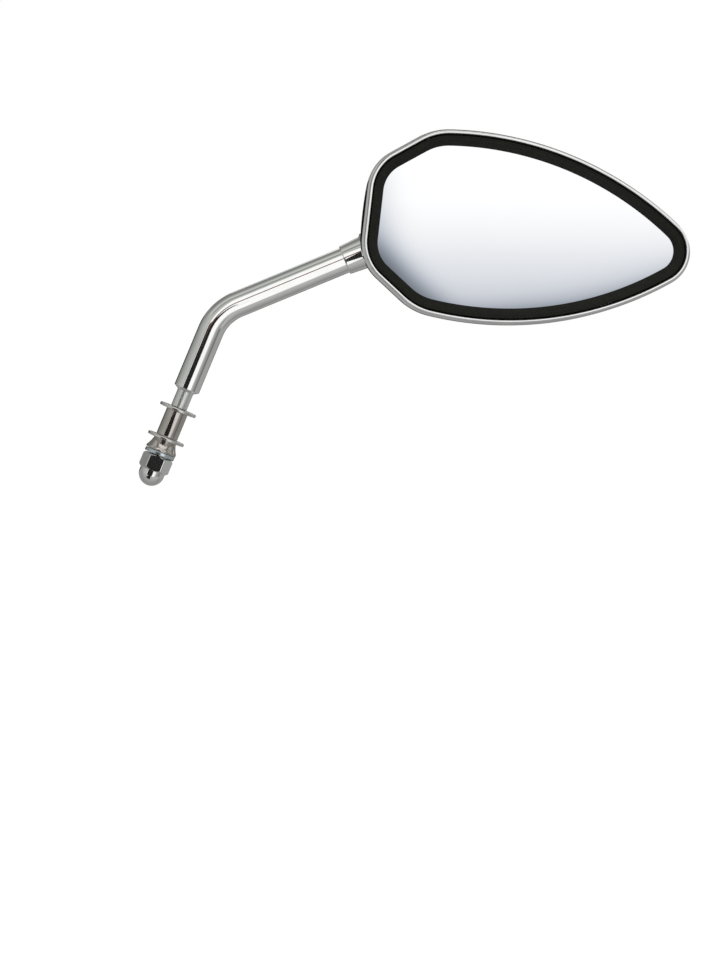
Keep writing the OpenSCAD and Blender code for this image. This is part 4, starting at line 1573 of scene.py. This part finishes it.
@dataclass
class Studio:
    """The camera, the pale surroundings, the lamps and the reflection cards."""

    # The point aimed at, the picture's height and the sensor are in millimetres
    aim: Triple = (92.4, 0.0, -8.0)
    frame_h: float = 464.6
    sensor: float = 36.0
    lean: float = 22.6
    rise: float = 2.0
    # The rest is in metres
    distance: float = 8.0
    floor_z: float = -0.30
    floor_half: float = 30.0
    floor_look: Colour = (0.93, 0.93, 0.93, 1.0)
    # From and to which distance, in millimetres, the floor turns white, and clear to the metal
    floor_white: tuple[float, float] = (500.0, 1500.0)
    floor_clear: tuple[float, float] = (1300.0, 2200.0)
    cards_y: float = -0.49
    # How bright the softboxes are, and the tint and greys of the surroundings
    box_level: float = 1.08
    metal_tint: Triple = (0.985, 1.0, 0.965)
    matt_surround: Colour = (0.8, 0.8, 0.8, 1.0)
    # From and to which height of the view the greys overhead take over
    overhead_share: tuple[float, float] = (0.12, 0.3)
    # Greys that the metal shows by the angle round the upright, 0 towards the camera
    round_about: Profile = (
        (-180, 0.30), (-140, 0.27), (-121, 0.25), (-105, 0.34), (-94, 0.39), (-74, 0.45),
        (-55, 0.55), (-44, 0.47), (-30, 0.16), (0, 0.4), (44, 0.42), (54, 0.36), (62, 0.29),
        (69, 0.24), (71.5, 0.10), (74, 0.10), (77, 0.27), (84, 0.36), (105, 0.38), (125, 0.36),
        (145, 0.42), (180, 0.30),
    )
    # Greys overhead, from in front (-1) to behind (1)
    overhead: Profile = (
        (-1, 0.5), (-0.48, 0.5), (-0.44, 0.2), (-0.37, 0.22), (-0.31, 0.5), (-0.16, 0.6),
        (0.03, 0.5), (0.12, 0.36), (0.24, 0.31), (0.4, 0.23), (0.62, 0.2), (0.8, 0.24), (1, 0.5),
    )
    # Greys of the floor, from in front to behind in millimetres
    floor_greys: Profile = (
        (-900, 0.62), (-500, 0.5), (-250, 0.46), (-60, 0.36), (120, 0.27), (400, 0.34), (700, 0.4),
    )
    # Greys of the large softbox to the right, in millimetres
    front_greys: Profile = (
        (-400, 1.0), (330, 1.0), (395, 0.62), (470, 0.42), (620, 0.33), (900, 0.28),
    )
    # Greys of the glass's softbox downwards, in millimetres
    glass_greys: Profile = (
        (140, 1.02), (192, 1.0), (210, 0.956), (222, 0.92), (234, 0.88), (246, 0.83),
        (258, 0.79), (282, 0.73), (312, 0.69), (330, 0.6),
    )
    # Right and down over the glass, as ways on its softbox, and where they count from
    glass_ways: tuple[Triple, Triple] = ((1.039, 0.0, 0.391), (0.495, 0.0, -1.109))
    glass_starts: tuple[float, float] = (128.5, 399.7)
    glass_shades: tuple[Shade, ...] = (
        Shade((0.697, -0.717), 83.0, 0.68, 19.0, 2.0),
        Shade((-0.036, -0.999), -320.0, 0.4, 11.0, 1.0),
        Shade((-0.316, -0.949), -471.0, 0.42, 11.0, 1.0),
        Shade((0.985, -0.17), 331.0, 0.33, 24.0, 2.0),
    )

    def camera(self) -> None:
        """A long lens nearly square to the bar's plane, rolled as the picture is."""
        data = bpy.data.cameras.new("studio_camera")
        data.sensor_fit = "AUTO"
        data.sensor_width = self.sensor
        data.lens = self.sensor * self.distance / (self.frame_h * MM)
        data.clip_start, data.clip_end = 0.1, 200.0
        rise, lean = math.radians(self.rise), math.radians(self.lean)
        forward = Vector((0, math.cos(rise), -math.sin(rise)))
        level_up = Vector((0, math.sin(rise), math.cos(rise)))
        side = Vector((1, 0, 0))
        right = side * math.cos(lean) + level_up * math.sin(lean)
        up = level_up * math.cos(lean) - side * math.sin(lean)
        rotation = Matrix((right, up, -forward)).transposed().to_4x4()
        camera = linked("studio_camera", data)
        place = Vector(self.aim) * MM - forward * self.distance
        camera.matrix_world = Matrix.Translation(place) @ rotation
        bpy.context.scene.camera = camera

    def world(self) -> None:
        """White to the camera, an even grey to matt surfaces and graded greys to the metal."""
        world = bpy.data.worlds.new("studio_surround")
        bpy.context.scene.world = world
        world.use_nodes = True
        kit = NodeKit(world.node_tree)
        kit.tree.nodes.clear()
        towards = kit.add("ShaderNodeTexCoord").outputs["Generated"]
        x, y, z = kit.add("ShaderNodeSeparateXYZ", {0: towards}).outputs
        about = kit.math("ARCTAN2", x, kit.math("MULTIPLY", y, -1.0))
        level = kit.greys(about, self.round_about, self.metal_tint, math.radians(1))
        over = kit.greys(y, self.overhead, self.metal_tint)
        graded = kit.mixed(kit.ranged(z, *self.overhead_share, smooth=True), level, over)
        metal, matt, white = (
            kit.add("ShaderNodeBackground", {"Color": colour}).outputs[0]
            for colour in (graded, self.matt_surround, WHITE)
        )
        rays = kit.add("ShaderNodeLightPath").outputs
        lit = kit.between(rays["Is Glossy Ray"], matt, metal)
        seen = kit.between(rays["Is Camera Ray"], lit, white)
        kit.add("ShaderNodeOutputWorld", {"Surface": seen})

    def floor(self) -> None:
        """A pale floor that keeps the shadow near the part and fades to white further out.

        To the metal it is grey, and clear far away, so that level rays reach the surroundings.
        """
        sheet = GlowSheet("studio_floor")
        away = sheet.add("ShaderNodeVectorMath", {0: sheet.place}, operation="LENGTH")
        away = away.outputs["Value"]
        matt = sheet.add("ShaderNodeBsdfDiffuse", {"Color": self.floor_look}).outputs[0]
        white = sheet.add("ShaderNodeEmission").outputs[0]
        seen = sheet.between(sheet.ranged(away, *self.floor_white, smooth=True), matt, white)
        level = sheet.greys(sheet.along((0, 1, 0), 0.0), self.floor_greys)
        grey = sheet.add("ShaderNodeEmission", {"Strength": level}).outputs[0]
        clear = sheet.add("ShaderNodeBsdfTransparent").outputs[0]
        mirrored = sheet.between(sheet.ranged(away, *self.floor_clear), grey, clear)
        rays = sheet.add("ShaderNodeLightPath").outputs
        look = sheet.surface(sheet.between(rays["Is Glossy Ray"], seen, mirrored))
        half = self.floor_half
        panel("studio_floor", (0, 0, self.floor_z), (half, 0, 0), (0, half, 0), look)

    @staticmethod
    def lamps() -> None:
        """A large soft lamp above in front, and weaker ones on the other sides."""
        middle = Vector((0.09, 0, 0.05))
        for name, place, size, power in (
            ("key_lamp", (-0.5, -1.2, 1.5), 1.2, 16.0),
            ("fill_lamp", (1.3, -0.9, 0.5), 1.0, 6.0),
            ("rear_lamp", (0.3, 1.5, 1.2), 1.2, 10.0),
        ):
            data = bpy.data.lights.new(name, "AREA")
            data.shape, data.size, data.energy = "SQUARE", size, power
            lamp = linked(name, data)
            lamp.location = place
            lamp.rotation_euler = (middle - Vector(place)).to_track_quat("-Z", "Y").to_euler()
            lamp.visible_glossy = False

    def front_glow(self) -> Material:
        """White on the left, fading to grey towards the right edge.

        Returns:
            The card's material.
        """
        sheet = GlowSheet("softbox_front")
        fade = sheet.greys(sheet.along((1, 0, -0.12), 0.0), self.front_greys)
        return sheet.glow(sheet.math("MULTIPLY", fade, self.box_level))

    def glass_glow(self) -> Material:
        """The card that fills the glass: white above, cooler grey below and at its edges.

        Returns:
            The card's material.
        """
        sheet = GlowSheet("softbox_glass")
        (right, down), (right_start, down_start) = self.glass_ways, self.glass_starts
        level = sheet.greys(sheet.along(down, -down_start), self.glass_greys)
        for shade_band in self.glass_shades:
            across, below = shade_band.ways
            line = tuple(across * r + below * d for r, d in zip(right, down))
            start = shade_band.start - across * right_start - below * down_start
            inside = sheet.math("MAXIMUM", sheet.along(line, start), 0.0)
            share = sheet.math("DIVIDE", inside, shade_band.reach)
            share = sheet.math("POWER", share, shade_band.power)
            fall = sheet.math("EXPONENT", sheet.math("MULTIPLY", share, -1.0))
            kept = sheet.math("SUBTRACT", 1.0, sheet.math("MULTIPLY", fall, shade_band.weight))
            level = sheet.math("MULTIPLY", level, kept)
        return sheet.glow(sheet.math("MULTIPLY", level, self.box_level), cool=0.2)

    def cards(self) -> None:
        """The softboxes and flags that the chrome and the glass show."""
        y, box = self.cards_y, self.box_level
        for card in (
            Card("softbox_front", (0.25, y - 0.01, -0.15), (0.65, 0, 0), (0, 0, 0.85),
                 self.front_glow()),
            Card("flag_band", (0.44, y - 0.004, 0.13), (0.21, 0, 0), (0, 0, 0.07), 0.16),
            Card("softbox_glass", (0.30, y, 0.26), (0.22, 0, 0), (0, 0, 0.16), self.glass_glow()),
            Card("flag_front", (-0.1225, y + 0.003, -0.14), (0.2275, 0, 0), (0, 0, 0.205), 0.018),
            Card("softbox_corner", (0.065, y + 0.005, 0.04), (0.10, 0, -0.10), (0.035, 0, 0.035),
                 box),
            Card("strip_warm", (0.0, y + 0.006, 0.256), (0.23, 0, 0.23), (-0.026, 0, 0.026), 0.2,
                 (1.0, 0.55, 0.42)),
            Card("flag_low", (-0.07, -0.32, -0.295), (0.1, 0, 0), (0, 0.17, 0), 0.018),
            Card("softbox_back", (0.25, 0.62, 0.62), (0.6, 0, 0), (0, 0, 0.30), 1.1),
            Card("flag_back", (-0.1, 0.60, -0.05), (0.45, 0, 0), (0, 0, 0.14), 0.008),
        ):
            card.build()

    def build(self) -> None:
        """Builds the whole studio."""
        self.camera()
        self.world()
        self.floor()
        self.lamps()
        self.cards()
        bpy.context.scene.view_settings.view_transform = "Standard"


def main() -> None:
    """Builds the studio and the mirror's pieces."""
    logging.basicConfig(level=logging.INFO, format="%(message)s")
    Studio().build()
    finishes = Finishes()
    for assembly in (BentBar, StudHardware, CollarNut, Knuckle, MirrorHead):
        assembly(finishes).build()
    finishes.dress_inner_nodes()


if __name__ == "__main__":
    main()
